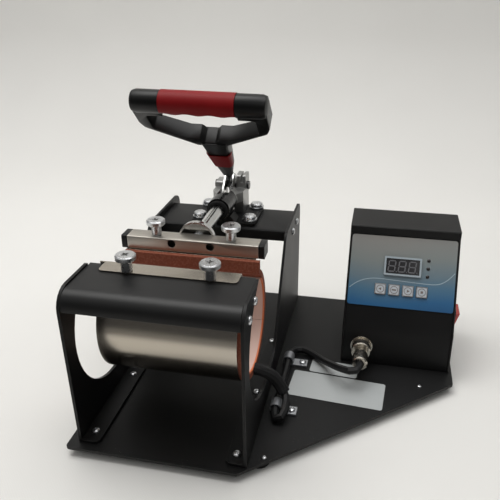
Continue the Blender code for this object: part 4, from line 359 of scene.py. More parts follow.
def rocker_red():
    """The rocker's glossy red."""
    f = Finish("rocker_red", (0.55, 0.03, 0.02), 0.22, Coat_Roughness=0.1, Coat_Weight=0.4)
    cloud = f.noise(80.0, 2.0)
    colour = f.mix(cloud, (0.48, 0.022, 0.016), (0.62, 0.04, 0.028))
    return f.set(Base_Color=colour, Roughness=0.18 + cloud * 0.1, Normal=f.rounded(0.0005))


def sponge():
    """Red silicone sponge with a pressed cloth grain."""
    f = Finish("red_silicone_sponge", (0.20, 0.05, 0.025), 0.75, Specular_IOR_Level=0.3)
    weave_x = (f.axis("X") * 5200.0).wave()
    weave_y = ((f.axis("Y") + f.axis("Z")) * 4200.0).wave()
    weave = weave_x * weave_y
    cloud = f.noise(45.0, 4.0)
    pore = f.cells(700.0)
    speckle = f.noise(620.0, 3.0).above(0.42, 0.66)
    colour = f.mix(cloud, (0.16, 0.036, 0.018), (0.25, 0.066, 0.034))
    colour = f.mix(speckle * 0.45, colour, (0.34, 0.13, 0.08))
    colour = f.mix(weave.above(-0.2, 0.9) * 0.3, colour, (0.36, 0.13, 0.08))
    return f.set(Base_Color=colour, Roughness=0.66 + pore * 0.18,
                 Normal=f.bump(weave + pore, 0.00018, 0.5, f.rounded(0.0004)))


def mat_silicone():
    """The heating mat: pale pinkish silicone with its element's faint relief, orange at its cut ends."""
    f = Finish("pale_silicone_mat", (0.64, 0.44, 0.38), 0.5)
    across = f.axis("X")
    element = (across * 620.0).wave()
    cloth = f.noise(900.0, 2.0)
    cloud = f.noise(22.0, 3.0)
    colour = f.mix(cloud, (0.60, 0.42, 0.36), (0.72, 0.53, 0.46))
    rim = (across - CENTRE_X).size().above(0.0588, 0.0594)
    colour = f.mix(rim, colour, (0.66, 0.17, 0.06))
    return f.set(Base_Color=colour, Roughness=0.42 + cloth * 0.2,
                 Normal=f.bump(element * 0.5 + cloth, 0.00012, 0.4, f.rounded(0.0003)))


def rubber(name, low, high, roughness):
    """Matt rubber."""
    f = Finish(name, high, roughness, Specular_IOR_Level=0.3)
    cloud = f.noise(70.0, 3.0)
    grain = f.noise(1500.0, 2.0)
    return f.set(Base_Color=f.mix(cloud, low, high), Roughness=roughness - 0.08 + grain * 0.16,
                 Normal=f.bump(grain, 0.00006, 0.4, f.rounded(0.0003)))


def braid():
    """The sleeve's braided glass fibre: two families of strands wound against each other."""
    f = Finish("black_braid", (0.008, 0.008, 0.0085), 0.62, Specular_IOR_Level=0.25)
    along = f.axis("X") + f.axis("Y") * 0.6 + f.axis("Z") * 1.2
    turn = f.axis("Y") - f.axis("Z") * 0.8
    first = ((along + turn) * 3600.0).wave()
    second = ((along - turn) * 3600.0).wave()
    weave = first.most(second)
    colour = f.mix(weave.above(0.1, 0.95), (0.004, 0.004, 0.0045), (0.016, 0.016, 0.017))
    return f.set(Base_Color=colour, Roughness=0.72 - weave * 0.12, Normal=f.bump(weave, 0.0003, 0.7))


def overlay_print():
    """The panel's printed film: grey-white at the top, deep blue at the foot."""
    f = Finish("printed_overlay", (0.40, 0.55, 0.70), 0.30, Coat_Weight=0.25, Coat_Roughness=0.15)
    back = f.axis("Y") - PANEL_FRAME.translation.y
    rise = f.axis("Z") - PANEL_FRAME.translation.z
    up = back * math.cos(PANEL_TILT) + rise * math.sin(PANEL_TILT)
    side = (f.axis("X") - BOX_X) / BOX_WIDTH
    wavy = up + ((side * 5.0).wave() * 0.0035)
    fade = f.start.node("ShaderNodeMapRange", {"clamp": True},
                        {"Value": wavy, "From Min": 0.0, "From Max": PANEL_LENGTH})
    colour = f.start.node("ShaderNodeValToRGB", {"stops": [
        (0.0, rgb(0.003, 0.040, 0.150)), (0.15, rgb(0.004, 0.066, 0.185)),
        (0.30, rgb(0.016, 0.110, 0.255)), (0.45, rgb(0.070, 0.165, 0.255)),
        (0.55, rgb(0.13, 0.195, 0.24)), (0.75, rgb(0.215, 0.24, 0.235)), (1.0, rgb(0.265, 0.255, 0.24))]},
        {0: fade})
    grain = f.noise(1200.0, 2.0)
    return f.set(Base_Color=colour, Roughness=0.30 + grain * 0.08,
                 Normal=f.bump(grain, 0.00002, 0.2, f.rounded(0.0002)))


def display_plastic():
    """The display's black housing and smoked window."""
    f = Finish("smoked_display", (0.010, 0.009, 0.011), 0.14, Coat_Weight=0.5, Coat_Roughness=0.08)
    cloud = f.noise(60.0, 2.0)
    return f.set(Base_Color=f.mix(cloud, (0.007, 0.006, 0.008), (0.014, 0.013, 0.016)),
                 Roughness=0.10 + cloud * 0.12, Normal=f.rounded(0.0003))


def button_plastic():
    """Pale button caps."""
    f = Finish("button_caps", (0.50, 0.53, 0.56), 0.35)
    cloud = f.noise(120.0, 2.0)
    return f.set(Base_Color=f.mix(cloud, (0.44, 0.48, 0.52), (0.56, 0.59, 0.62)),
                 Roughness=0.30 + cloud * 0.12, Normal=f.rounded(0.0004))


def board_green():
    """The board's solder mask with fine tracks."""
    f = Finish("board_mask", (0.02, 0.14, 0.06), 0.35)
    tracks = f.cells(160.0, randomness=0.6).above(0.28, 0.32)
    return f.set(Base_Color=f.mix(tracks, (0.05, 0.24, 0.10), (0.015, 0.11, 0.05)),
                 Roughness=0.30 + tracks * 0.15)


def clip_metal():
    """Dull grey plated clips."""
    f = Finish("dull_clip", (0.40, 0.41, 0.43), 0.42, Metallic=0.85)
    cloud = f.noise(110.0, 4.0)
    return f.set(Base_Color=f.mix(cloud, (0.31, 0.32, 0.34), (0.48, 0.49, 0.51)),
                 Roughness=0.34 + cloud * 0.2, Normal=f.rounded(0.0003))


def digit_grey():
    """Grey digits, unlit."""
    f = Finish("display_digits", (0.13, 0.13, 0.135), 0.4)
    cloud = f.noise(500.0, 1.0)
    return f.set(Base_Color=f.mix(cloud, (0.11, 0.11, 0.12), (0.16, 0.16, 0.17)),
                 Roughness=0.36 + cloud * 0.1)


def dark_lamp():
    """Small indicator lamps, unlit."""
    f = Finish("indicator_lamps", (0.010, 0.008, 0.008), 0.2, Coat_Weight=0.5, Coat_Roughness=0.05)
    cloud = f.noise(400.0, 1.0)
    return f.set(Base_Color=f.mix(cloud, (0.007, 0.005, 0.005), (0.016, 0.011, 0.011)))


def bezel_plastic():
    """The display's pale frame."""
    f = Finish("display_bezel", (0.36, 0.42, 0.46), 0.35)
    cloud = f.noise(200.0, 2.0)
    return f.set(Base_Color=f.mix(cloud, (0.32, 0.38, 0.42), (0.42, 0.48, 0.52)),
                 Roughness=0.30 + cloud * 0.12)


def ink(name, low, high):
    """Printed ink, a little uneven."""
    f = Finish(name, high, 0.4)
    cloud = f.noise(900.0, 2.0)
    return f.set(Base_Color=f.mix(cloud, low, high), Roughness=0.36 + cloud * 0.1)


def sticker():
    """Blank white vinyl."""
    f = Finish("blank_sticker", (0.40, 0.42, 0.42), 0.34, Coat_Weight=0.2, Coat_Roughness=0.2)
    cloud = f.noise(30.0, 3.0)
    return f.set(Base_Color=f.mix(cloud, (0.37, 0.39, 0.39), (0.44, 0.46, 0.46)),
                 Roughness=0.30 + cloud * 0.12)


POWDER = powder_coat()
SATIN = satin_sheet()
STEEL = heater_steel()
BAR_STEEL = bar_steel()
CHROME = chrome()
CASTING = clamp_casting()
ZINC = zinc()
NICKEL = nickel()
DARK = dark_steel()
PLASTIC = black_plastic()
RED = red_plastic()
ROCKER_RED = rocker_red()
SPONGE = sponge()
MAT = mat_silicone()
RUBBER = rubber("matt_black_rubber", (0.005, 0.005, 0.005), (0.010, 0.010, 0.010), 0.66)
CABLE = rubber("cable_jacket", (0.005, 0.005, 0.0055), (0.009, 0.009, 0.0095), 0.45)
BRAID = braid()
OVERLAY = overlay_print()
DISPLAY = display_plastic()
BUTTON = button_plastic()
BOARD = board_green()
CLIP = clip_metal()
DIGITS = digit_grey()
LAMPS = dark_lamp()
STICKER = sticker()
BEZEL = bezel_plastic()
PALE_INK = ink("pale_line_ink", (0.36, 0.46, 0.52), (0.46, 0.56, 0.62))
DARK_INK = ink("button_ink", (0.13, 0.10, 0.09), (0.20, 0.16, 0.15))

FINISH_OF = {
    "base_plate": POWDER, "side_plate_left": POWDER, "side_plate_right": POWDER, "front_cover": SATIN,
    "rear_crossbar": POWDER, "clamp_flange": POWDER, "control_cover": POWDER, "control_panel": POWDER,
    "heater_shell_front": STEEL, "heater_shell_rear": STEEL, "pressing_bar": BAR_STEEL,
    "clamp_body": CASTING, "clamp_plunger": CHROME, "plunger_cup": CHROME, "toggle_link": CHROME,
    "heater_sponge_front": SPONGE, "heater_sponge_rear": SPONGE, "heater_mat_front": MAT,
    "heater_mat_rear": MAT, "plunger_bolt": ZINC, "lever": DARK, "lever_pin": DARK, "transformer": DARK,
    "handle_frame": PLASTIC, "bar_cap_left": PLASTIC, "bar_cap_right": PLASTIC,
    "switch_housing": PLASTIC, "power_inlet": PLASTIC, "handle_grip": RED, "stem_band": RED,
    "power_rocker": ROCKER_RED, "clamp_collar": RUBBER, "heater_lead": CABLE, "lead_sleeve": BRAID,
    "panel_overlay": OVERLAY, "display_module": DISPLAY, "control_board": BOARD,
    "connector_socket": NICKEL, "connector_plug": NICKEL, "connector_ring": NICKEL,
    "lead_clip_front": CLIP, "lead_clip_rear": CLIP,
}
STARTS = {"foot_": RUBBER, "button_": BUTTON, "clamp_bolt_": ZINC, "cover_thumb_screw_": ZINC,
          "bar_thumb_screw_": ZINC}


def finish_for(name):
    """The finish of a node, by its name or how its name starts."""
    if name in FINISH_OF:
        return FINISH_OF[name]
    return next(material for start, material in STARTS.items() if name.startswith(start))


# Round shading: how near points are joined, and the largest turn that stays smooth, in degrees
WELD = 0.000002
SMOOTH_UP_TO = 28


def round_shading(angle):
    """A modifier's node group that shades faces smooth, apart from edges sharper than an angle."""
    tree = bpy.data.node_groups.new("round_shading", "GeometryNodeTree")
    tree.interface.new_socket("Geometry", in_out="INPUT", socket_type="NodeSocketGeometry")
    tree.interface.new_socket("Geometry", in_out="OUTPUT", socket_type="NodeSocketGeometry")
    start = tree.nodes.new("NodeGroupInput")
    joined = tree.nodes.new("GeometryNodeMergeByDistance")
    joined.inputs["Distance"].default_value = WELD
    plain = tree.nodes.new("GeometryNodeRemoveAttribute")
    plain.inputs["Name"].default_value = "custom_normal"
    faces = tree.nodes.new("GeometryNodeSetShadeSmooth")
    faces.domain = "FACE"
    turn = tree.nodes.new("GeometryNodeInputMeshEdgeAngle")
    sharp = tree.nodes.new("FunctionNodeCompare")
    sharp.operation = "GREATER_THAN"
    sharp.inputs[1].default_value = math.radians(angle)
    edges = tree.nodes.new("GeometryNodeSetShadeSmooth")
    edges.domain = "EDGE"
    edges.inputs["Shade Smooth"].default_value = False
    end = tree.nodes.new("NodeGroupOutput")
    tree.links.new(start.outputs[0], joined.inputs["Geometry"])
    tree.links.new(joined.outputs[0], plain.inputs["Geometry"])
    tree.links.new(plain.outputs[0], faces.inputs["Geometry"])
    tree.links.new(faces.outputs[0], edges.inputs["Geometry"])
    tree.links.new(turn.outputs["Unsigned Angle"], sharp.inputs[0])
    tree.links.new(sharp.outputs[0], edges.inputs["Selection"])
    tree.links.new(edges.outputs[0], end.inputs[0])
    return tree


ROUND = round_shading(SMOOTH_UP_TO)
for name, node in NODES.items():
    node.data.materials.clear()
    node.data.materials.append(finish_for(name))
    node.modifiers.new("round_shading", "NODES").node_group = ROUND


# Small pieces: a gap under each, the sides of a circle, and how far off a ray starts
LIFT = 0.00004
RING_SIDES = 24
ABOVE = 0.4


def piece(name, shape, finish, body, sharp=35):
    """A new object from a closed bmesh, which rides on a body."""
    bmesh.ops.recalc_face_normals(shape, faces=shape.faces)
    if shape.calc_volume(signed=True) < 0:
        bmesh.ops.reverse_faces(shape, faces=shape.faces)
    mesh = bpy.data.meshes.new(name)
    shape.to_mesh(mesh)
    shape.free()
    mesh.materials.append(finish)
    mesh.shade_smooth()
    mesh.set_sharp_from_angle(angle=math.radians(sharp))
    made = bpy.data.objects.new(name, mesh)
    bpy.context.scene.collection.objects.link(made)
    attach(made, body)
    return made


def slab(shape, outline, low, high, frame=Matrix.Identity(4)):
    """Raise a flat outline between two heights of a frame."""
    rings = [[shape.verts.new(frame @ Vector((a, b, z))) for a, b in outline] for z in (low, high)]
    count = len(outline)
    for k in range(count):
        n = (k + 1) % count
        shape.faces.new((rings[0][k], rings[0][n], rings[1][n], rings[1][k]))
    shape.faces.new(list(reversed(rings[0])))
    shape.faces.new(rings[1])


def frame_slab(shape, outer, inner, low, high, frame):
    """Raise a flat ring, between an outer and an inner outline of as many points."""
    rings = [[shape.verts.new(frame @ Vector((a, b, z))) for a, b in outline]
             for outline, z in ((outer, low), (outer, high), (inner, high), (inner, low))]
    count = len(outer)
    for first, second in zip(rings, rings[1:] + rings[:1]):
        for k in range(count):
            n = (k + 1) % count
            shape.faces.new((first[k], first[n], second[n], second[k]))


def rounded_box(left, low, right, high, corner, steps=4):
    """The outline of a rectangle with round corners."""
    points = []
    for a, b, start in ((right - corner, high - corner, 0), (left + corner, high - corner, 90),
                        (left + corner, low + corner, 180), (right - corner, low + corner, 270)):
        for k in range(steps + 1):
            turn = math.radians(start + 90 * k / steps)
            points.append((a + corner * math.cos(turn), b + corner * math.sin(turn)))
    return points


def disc(radius, a=0.0, b=0.0, sides=RING_SIDES, start=0.0):
    """A circle's outline."""
    return [(a + radius * math.cos(start + 2 * math.pi * k / sides),
             b + radius * math.sin(start + 2 * math.pi * k / sides)) for k in range(sides)]


def turned(shape, profile, frame, sides=RING_SIDES):
    """A turned body round a frame's Z: (radius, height, cross) from the foot up, where cross pulls
    the ring in between four arms."""
    rings = []
    for radius, height, cross in profile:
        if radius == 0:
            rings.append([shape.verts.new(frame @ Vector((0, 0, height)))])
            continue
        ring = []
        for k in range(sides):
            turn = 2 * math.pi * k / sides
            reach = radius * (1 - cross + cross * math.cos(2 * turn) ** 4)
            place = Vector((reach * math.cos(turn), reach * math.sin(turn), height))
            ring.append(shape.verts.new(frame @ place))
        rings.append(ring)
    for low, high in zip(rings, rings[1:]):
        for k in range(sides):
            corners = [low[k % len(low)], low[(k + 1) % len(low)], high[(k + 1) % len(high)],
                       high[k % len(high)]]
            shape.faces.new(list(dict.fromkeys(corners)))


def seat_on(node, start, direction):
    """The point of a node that a ray meets first."""
    hit, place, _, _ = NODES[node].ray_cast(Vector(start), Vector(direction))
    if not hit:
        raise ValueError("no surface of " + node + " there")
    return place


def facing(point, direction, turn):
    """A frame at a point whose Z runs along a direction."""
    aim = Vector(direction).to_track_quat("Z", "Y").to_matrix().to_4x4()
    return Matrix.Translation(Vector(point)) @ aim @ Matrix.Rotation(turn, 4, "Z")


# A screw head's profile, in shares of its radius and its height, and how far its cross pulls in
HEAD_HEIGHT_SHARE = 0.62
HEAD_ASIDE_SHARE = 0.85
HEAD_CROSS = 0.45
HEAD_SHARES = ((0, 0, 0), (0.97, 0, 0), (1, 0.18, 0), (0.97, 0.42, 0), (0.86, 0.70, 0), (0.68, 0.90, 0),
               (0.50, 1, 0), (0.46, 1, HEAD_CROSS), (0.36, 0.45, HEAD_CROSS), (0, 0.35, 0))


def screw_head(name, node, start, direction, radius, turn):
    """A pan head with a cross recess, seated on a node of the frame round any hole there."""
    normal = -Vector(direction)
    aside = Vector((abs(normal.z), abs(normal.x), 0)) * radius * HEAD_ASIDE_SHARE
    seat = seat_on(node, Vector(start) + aside, direction) - aside
    tall = radius * HEAD_HEIGHT_SHARE
    profile = [(radius * out, max(tall * up, LIFT), cross) for out, up, cross in HEAD_SHARES]
    shape = bmesh.new()
    turned(shape, profile, facing(seat, normal, turn))
    return piece(name, shape, ZINC, "frame", 50)


# The small screws' places, radius and turn: across and back on flat pieces, back and up on side plates
DECK_SCREWS = {
    "flange_screw_left_front": ("side_plate_left", -0.1400, -0.1205, 0.0031, 0.5),
    "flange_screw_left_rear": ("side_plate_left", -0.1392, -0.0430, 0.0031, 0.2),
    "flange_screw_left_back": ("side_plate_left", -0.1392, 0.1180, 0.0031, 0.9),
    "flange_screw_right_front": ("side_plate_right", -0.0190, -0.1222, 0.0033, 0.3),
    "flange_screw_right_rear": ("side_plate_right", -0.0204, 0.0370, 0.0031, 0.8),
    "flange_screw_right_back": ("side_plate_right", -0.0195, 0.1180, 0.0031, 0.1),
    "flange_screw_right_middle": ("side_plate_right", -0.0196, -0.0450, 0.0031, 0.6),
    "foot_screw_front": ("base_plate", 0.0020, -0.1190, 0.0021, 0.4),
    "foot_screw_right": ("base_plate", 0.1244, -0.0040, 0.0021, 0.7),
    "foot_screw_back": ("base_plate", 0.1378, 0.1278, 0.0021, 0.2),
    "clip_screw_front": ("lead_clip_front", 0.0150, -0.0618, 0.0032, 0.6),
    "clip_screw_rear": ("lead_clip_rear", 0.0150, 0.0082, 0.0032, 0.1),
}
SIDE_SCREWS = {
    "cover_screw_front": (-0.1165, 0.1345, 0.0035, 0.3),
    "cover_screw_rear": (-0.0986, 0.1400, 0.0035, 0.9),
    "crossbar_screw_front": (0.0860, 0.1155, 0.0035, 0.4),
    "crossbar_screw_rear": (0.1120, 0.1158, 0.0035, 0.8),
}


def small_screws():
    """Every small screw; those of the side plates are on both plates."""
    for name, (node, x, y, radius, turn) in DECK_SCREWS.items():
        screw_head(name, node, (x, y, ABOVE), (0, 0, -1), radius, turn)
    for name, (y, z, radius, turn) in SIDE_SCREWS.items():
        for side, plate in ((1, "side_plate_right"), (-1, "side_plate_left")):
            start = (CENTRE_X + side * ABOVE, y, z)
            screw_head(name + plate.replace("side_plate", ""), plate, start, (-side, 0, 0), radius,
                       turn * side)


small_screws()

# Painted shade in the cross slots of the thumb screws: flat dark crosses laid on their heads
CROSS_REACH = 0.0030
CROSS_HALF = 0.00065
CROSS_THICK = 0.00005
THUMB_SCREWS = {"cover_thumb_screw_left": 0.9, "cover_thumb_screw_right": 0.2,
                "bar_thumb_screw_left": 0.6, "bar_thumb_screw_right": 0.3}


def painted_slot_shades():
    """A flat dark cross on each thumb screw's head, painted shade where its cross slot lies; it turns with
    the screw.
    """
    a, b = CROSS_HALF, CROSS_REACH
    outline = [(b, -a), (b, a), (a, a), (a, b), (-a, b), (-a, a), (-b, a), (-b, -a), (-a, -a), (-a, -b),
               (a, -b), (a, -a)]
    for node, turn in THUMB_SCREWS.items():
        low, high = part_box(node)
        top = Vector(((low.x + high.x) / 2, (low.y + high.y) / 2, high.z + LIFT))
        shape = bmesh.new()
        # Painted shade: a thin dark slab on the head stands in for the shadow inside the slot.
        slab(shape, outline, 0.0, CROSS_THICK, Matrix.Translation(top) @ Matrix.Rotation(turn, 4, "Z"))
        piece(node + "_cross", shape, DARK, node.replace("thumb_", ""))


painted_slot_shades()


# Panel: places in metres from its lower left corner, across and up its slope
FACE_DEPTH = 0.0002


def panel_top(node):
    """How far a node stands out from the panel's plane."""
    inverse = PANEL_FRAME.inverted()
    return max((inverse @ vertex.co).z for vertex in NODES[node].data.vertices)


def panel_box(node):
    """A node's extent across and up the panel, on its top face."""
    inverse = PANEL_FRAME.inverted()
    places = [inverse @ vertex.co for vertex in NODES[node].data.vertices]
    top = max(place.z for place in places)
    face = [place for place in places if place.z > top - FACE_DEPTH]
    return (min(p.x for p in face), min(p.y for p in face), max(p.x for p in face), max(p.y for p in face))


LAMP_PLACES = ((0.0744, 0.0686), (0.0743, 0.0610), (0.0742, 0.0535))
LAMP_RADIUS = 0.0017
LAMP_HEIGHT = 0.0008
DOME_STEPS = 6


def lamps():
    """Three small dark domes beside the display."""
    base = panel_top("panel_overlay")
    for k, (x, up) in enumerate(LAMP_PLACES):
        shape = bmesh.new()
        profile = [(0, LIFT, 0)]
        for step in range(DOME_STEPS):
            turn = math.radians(90 * step / DOME_STEPS)
            profile.append((LAMP_RADIUS * math.cos(turn), LIFT + LAMP_HEIGHT * math.sin(turn), 0))
        profile.append((0, LIFT + LAMP_HEIGHT, 0))
        turned(shape, profile, PANEL_FRAME @ Matrix.Translation((x, up, base)))
        piece("indicator_lamp_%d" % (k + 1), shape, LAMPS, "frame", 60)


BEZEL_WIDTH = 0.0017
BEZEL_HEIGHT = 0.0003
BEZEL_OUTER_CORNER = 0.0010
BEZEL_INNER_CORNER = 0.0003
WINDOW_DEPTH = 0.0006
DIGIT_WIDTH = 0.0060
DIGIT_HEIGHT = 0.0100
DIGIT_PITCH = 0.0094
DIGIT_SHIFT = 0.0006
DIGIT_STROKE = 0.0011
DIGIT_GAP = 0.00015
DIGIT_SLANT = 0.10
DIGIT_THICK = 0.00008
DOT_ASIDE = 0.0014
DOT_SIDES = 12


def stroke(start, end, half):
    """A seven-segment bar's outline, pointed at both ends."""
    along = (end - start).normalized()
    side = Vector((-along.y, along.x)) * half
    inset = along * half
    return [start, start + inset + side, end - inset + side, end, end - inset - side, start + inset - side]


def display_face():
    """The bezel round the display, and three unlit digits and their points set down in its window."""
    left, low, right, high = panel_box("display_module")
    top = panel_top("display_module")
    shape = bmesh.new()
    wide = BEZEL_WIDTH
    outer = rounded_box(left, low, right, high, BEZEL_OUTER_CORNER)
    inner = rounded_box(left + wide, low + wide, right - wide, high - wide, BEZEL_INNER_CORNER)
    frame_slab(shape, outer, inner, top + LIFT, top + BEZEL_HEIGHT, PANEL_FRAME)
    piece("display_bezel", shape, BEZEL, "frame")
    middle = Vector(((left + right) / 2, (low + high) / 2))
    floor = top - WINDOW_DEPTH + LIFT
    digits = bmesh.new()
    half = DIGIT_STROKE / 2
    for k in (-1, 0, 1):
        centre = middle + Vector((k * DIGIT_PITCH - DIGIT_SHIFT, 0))
        corners = {}
        for i, x in enumerate((-DIGIT_WIDTH / 2, DIGIT_WIDTH / 2)):
            for j, y in enumerate((-DIGIT_HEIGHT / 2, 0, DIGIT_HEIGHT / 2)):
                corners[i, j] = centre + Vector((x + y * DIGIT_SLANT, y))
        bars = [((0, j), (1, j)) for j in range(3)]
        bars += [((i, j), (i, j + 1)) for i in range(2) for j in range(2)]
        for first, second in bars:
            start, end = corners[first], corners[second]
            gap = (end - start).normalized() * DIGIT_GAP
            slab(digits, stroke(start + gap, end - gap, half), floor, floor + DIGIT_THICK, PANEL_FRAME)
        dot = centre + Vector((DIGIT_WIDTH / 2 + DOT_ASIDE, -DIGIT_HEIGHT / 2))
        slab(digits, disc(half, dot.x, dot.y, DOT_SIDES), floor, floor + DIGIT_THICK, PANEL_FRAME)
    piece("display_digits", digits, DIGITS, "frame")


# The thin line: places along it from the left, and half its width
WAVE_PLACES = ((0.0031, 0.0376), (0.0090, 0.0425), (0.0153, 0.0458), (0.0223, 0.0477), (0.0292, 0.0483),
               (0.0367, 0.0481), (0.0469, 0.0477), (0.0607, 0.0471), (0.0744, 0.0467), (0.0816, 0.0469),
               (0.0869, 0.0483), (0.0920, 0.0516), (0.0958, 0.0555), (0.0985, 0.0588))
WAVE_HALF = 0.00028


def smooth(points, steps=6):
    """Points along a smooth curve through the given ones."""
    ends = [2 * points[0] - points[1], *points, 2 * points[-1] - points[-2]]
    fine = []
    for k in range(len(points) - 1):
        a, b, c, d = ends[k:k + 4]
        for j in range(steps):
            t = j / steps
            fine.append(0.5 * (2 * b + (c - a) * t + (2 * a - 5 * b + 4 * c - d) * t * t
                               + (3 * b - a - 3 * c + d) * t ** 3))
    return fine + [points[-1]]


def wave_line():
    """The thin pale line that sweeps across the overlay."""
    middle = smooth([Vector(place) for place in WAVE_PLACES])
    upper, lower = [], []
    for k, point in enumerate(middle):
        along = (middle[min(k + 1, len(middle) - 1)] - middle[max(k - 1, 0)]).normalized()
        side = Vector((-along.y, along.x)) * WAVE_HALF
        upper.append(point + side)
        lower.append(point - side)
    base = panel_top("panel_overlay")
    shape = bmesh.new()
    rows = []
    for left, right in zip(upper, lower):
        rows.append([shape.verts.new(PANEL_FRAME @ Vector((p.x, p.y, base + z)))
                     for p, z in ((left, LIFT), (left, 2 * LIFT), (right, 2 * LIFT), (right, LIFT))])
    for first, second in zip(rows, rows[1:]):
        for k in range(4):
            n = (k + 1) % 4
            shape.faces.new((first[k], first[n], second[n], second[k]))
    shape.faces.new(list(reversed(rows[0])))
    shape.faces.new(rows[-1])
    piece("overlay_line", shape, PALE_INK, "frame")


BUTTON_COUNT = 4
MARK_THICK = 0.00006
MARK_RING = 0.0036
MARK_RING_WIDTH = 0.0005
MARK_SIZE = 0.0016
RIM_WIDTH = 0.0004
RIM_OUTER_CORNER = 0.0008
RIM_INNER_CORNER = 0.0006


def mark_outlines(kind):
    """A button's plain mark: a triangle, a bar, a triangle turned round, or a square."""
    size = MARK_SIZE
    if kind == 1:
        return rounded_box(-size * 1.3, -size * 0.4, size * 1.3, size * 0.4, size * 0.3)
    if kind == 3:
        return rounded_box(-size * 0.7, -size * 0.7, size * 0.7, size * 0.7, size * 0.2)
    return disc(size, 0, 0, 3, math.pi if kind == 0 else 0.0)


def button_marks():
    """On each button a thin dark rim, a ring and a plain mark."""
    for k in range(BUTTON_COUNT):
        node = "button_%d" % (k + 1)
        left, low, right, high = panel_box(node)
        top = panel_top(node)
        plane = PANEL_FRAME @ Matrix.Translation(((left + right) / 2, (low + high) / 2, top))
        half = (right - left) / 2 - RIM_WIDTH / 2
        within = half - RIM_WIDTH
        shape = bmesh.new()
        face = LIFT + MARK_THICK
        frame_slab(shape, rounded_box(-half, -half, half, half, RIM_OUTER_CORNER),
                   rounded_box(-within, -within, within, within, RIM_INNER_CORNER), LIFT, face, plane)
        frame_slab(shape, disc(MARK_RING), disc(MARK_RING - MARK_RING_WIDTH), LIFT, face, plane)
        slab(shape, mark_outlines(k), LIFT, face, plane)
        piece("button_mark_%d" % (k + 1), shape, DARK_INK, node)


lamps()
display_face()
wave_line()
button_marks()

# Stickers on the base: middle across and back, width, depth
STICKER_TURN = math.radians(-4)
STICKER_THICK = 0.00012
STICKER_CORNER = 0.0022
STICKER_CORNER_STEPS = 5
STICKERS = {
    "sticker_large": (0.0504, -0.0233, 0.0853, 0.0369),
    "sticker_small": (0.0456, 0.0074, 0.0448, 0.0200),
}


def stickers():
    """Two blank vinyl stickers on the base plate, in front of the control box."""
    for name, (x, y, width, depth) in STICKERS.items():
        shape = bmesh.new()
        place = seat_on("base_plate", (x, y, ABOVE), (0, 0, -1))
        plane = Matrix.Translation(place) @ Matrix.Rotation(STICKER_TURN, 4, "Z")
        outline = rounded_box(-width / 2, -depth / 2, width / 2, depth / 2, STICKER_CORNER,
                              STICKER_CORNER_STEPS)
        slab(shape, outline, LIFT, LIFT + STICKER_THICK, plane)
        piece(name, shape, STICKER, "frame")


stickers()


# Studio
SWEEP_HALF_WIDTH = 1.6
SWEEP_FRONT = -1.2
SWEEP_BEND_START = 0.45
SWEEP_BEND = 0.30
SWEEP_TOP_BACK = 0.80
SWEEP_TOP = 1.6
# Where the painted shade in front of the press begins, and where it is full, back along the floor
PAINTED_SHADE_START = -0.27
PAINTED_SHADE_END = -0.44
WEAVE_PITCH = 2600.0


def studio():
    """A pale cloth floor that sweeps up behind, with painted light towards its left side and painted shade
    well in front of the press.
    """
    shape = bmesh.new()
    profile = [(SWEEP_FRONT, 0.0), (SWEEP_BEND_START, 0.0)]
    profile += [(SWEEP_BEND_START + SWEEP_BEND * math.sin(a), SWEEP_BEND - SWEEP_BEND * math.cos(a))
                for a in (math.radians(d) for d in range(6, 84, 6))]
    profile += [(SWEEP_BEND_START + SWEEP_BEND, SWEEP_BEND), (SWEEP_TOP_BACK, SWEEP_TOP)]
    rows = [[shape.verts.new((x, y, z)) for x in (-SWEEP_HALF_WIDTH, SWEEP_HALF_WIDTH)]
            for y, z in profile]
    for low, high in zip(rows, rows[1:]):
        shape.faces.new((low[0], low[1], high[1], high[0]))
    mesh = bpy.data.meshes.new("sweep")
    shape.to_mesh(mesh)
    shape.free()
    mesh.shade_smooth()
    sweep = bpy.data.objects.new("sweep", mesh)
    bpy.context.scene.collection.objects.link(sweep)
    f = Finish("pale_sweep", (0.80, 0.79, 0.765), 0.9, Specular_IOR_Level=0.1)
    cloud = f.noise(2.4, 3.0)
    warp = (f.axis("X") * WEAVE_PITCH).wave()
    weft = ((f.axis("Y") + f.axis("Z")) * WEAVE_PITCH).wave()
    weave = (warp * weft).above(-0.6, 0.8)
    # Painted light: the floor's colour is made lighter towards its left side, where the window lamp stands.
    left = 1.0 - f.axis("X").above(-0.9, 0.5)
    colour = f.mix(cloud * 0.6 + left * 0.4, (0.70, 0.69, 0.665), (0.86, 0.85, 0.825))
    colour = f.mix(weave * 0.10, colour, (0.62, 0.61, 0.59))
    # Painted shade: well in front of the press the floor's colour darkens to a mid grey, standing in for a
    # dim room there.
    front = 1.0 - f.axis("Y").above(PAINTED_SHADE_END, PAINTED_SHADE_START)
    colour = f.mix(front, colour, (0.24, 0.237, 0.23))
    mesh.materials.append(f.set(Base_Color=colour))


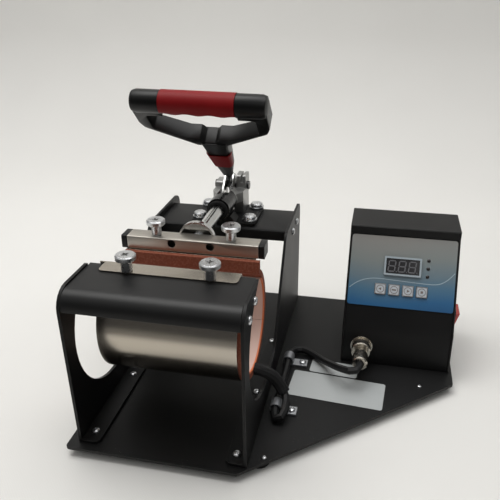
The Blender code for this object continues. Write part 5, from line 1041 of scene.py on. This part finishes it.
# Soft lamps: place, width and depth, power, colour
AIM = Vector((0.0, 0.0, 0.1))
SOFT_LAMPS = {
    "window": ((-0.55, 0.05, 1.5), (0.9, 0.9), 10.0, (1.0, 0.99, 0.97)),
    "ceiling": ((0.25, 0.15, 1.6), (1.2, 1.0), 9.5, (1.0, 1.0, 1.0)),
    "fill": ((0.5, -1.1, 1.1), (0.7, 0.7), 0.8, (1.0, 1.0, 1.0)),
}
AIR_STRENGTH = 0.55


def soft_lamps():
    """Soft lamps aimed at the press."""
    for name, (place, size, power, colour) in SOFT_LAMPS.items():
        data = bpy.data.lights.new(name, "AREA")
        data.shape = "RECTANGLE"
        data.size, data.size_y = size
        data.energy = power
        data.color = colour
        made = bpy.data.objects.new(name, data)
        made.location = place
        made.rotation_euler = (AIM - Vector(place)).to_track_quat("-Z", "Y").to_euler()
        bpy.context.scene.collection.objects.link(made)


def world_light():
    """A pale ceiling over a dim room: dark low down in front, brighter overhead and behind."""
    world = bpy.data.worlds.new("studio_air")
    world.use_nodes = True
    back = world.node_tree.nodes["Background"]
    air = Field(world.node_tree, None)
    toward = air.node("ShaderNodeTexCoord", output="Generated")
    split = air.node("ShaderNodeSeparateXYZ", inputs={0: toward})
    across, deep, high = (Field(world.node_tree, split.socket.node.outputs[k]) for k in range(3))
    bright = (high + deep.most(0.0) * 0.5 - across * 0.12).above(0.30, 0.85)
    shade = air.node("ShaderNodeValToRGB", {"stops": [
        (0.0, rgb(0.14, 0.14, 0.14)), (1.0, rgb(1.0, 1.0, 0.98))]}, {0: bright})
    put(world.node_tree, back.inputs["Color"], shade)
    back.inputs["Strength"].default_value = AIR_STRENGTH
    bpy.context.scene.world = world


studio()
world_light()
soft_lamps()

# Camera, at the photograph's place
CAMERA_LENS = 42.81
CAMERA_CLIP = 0.05
CAMERA_PLACE = (0.071894, -0.464231, 0.360853)
CAMERA_TURN_DEGREES = (64.36949, 0.73572, 12.49415)
camera_data = bpy.data.cameras.new("camera")
camera_data.lens = CAMERA_LENS
camera_data.clip_start = CAMERA_CLIP
camera = bpy.data.objects.new("camera", camera_data)
camera.location = CAMERA_PLACE
camera.rotation_euler = [math.radians(a) for a in CAMERA_TURN_DEGREES]
bpy.context.scene.collection.objects.link(camera)
bpy.context.scene.camera = camera
bpy.context.scene.view_settings.view_transform = "Standard"
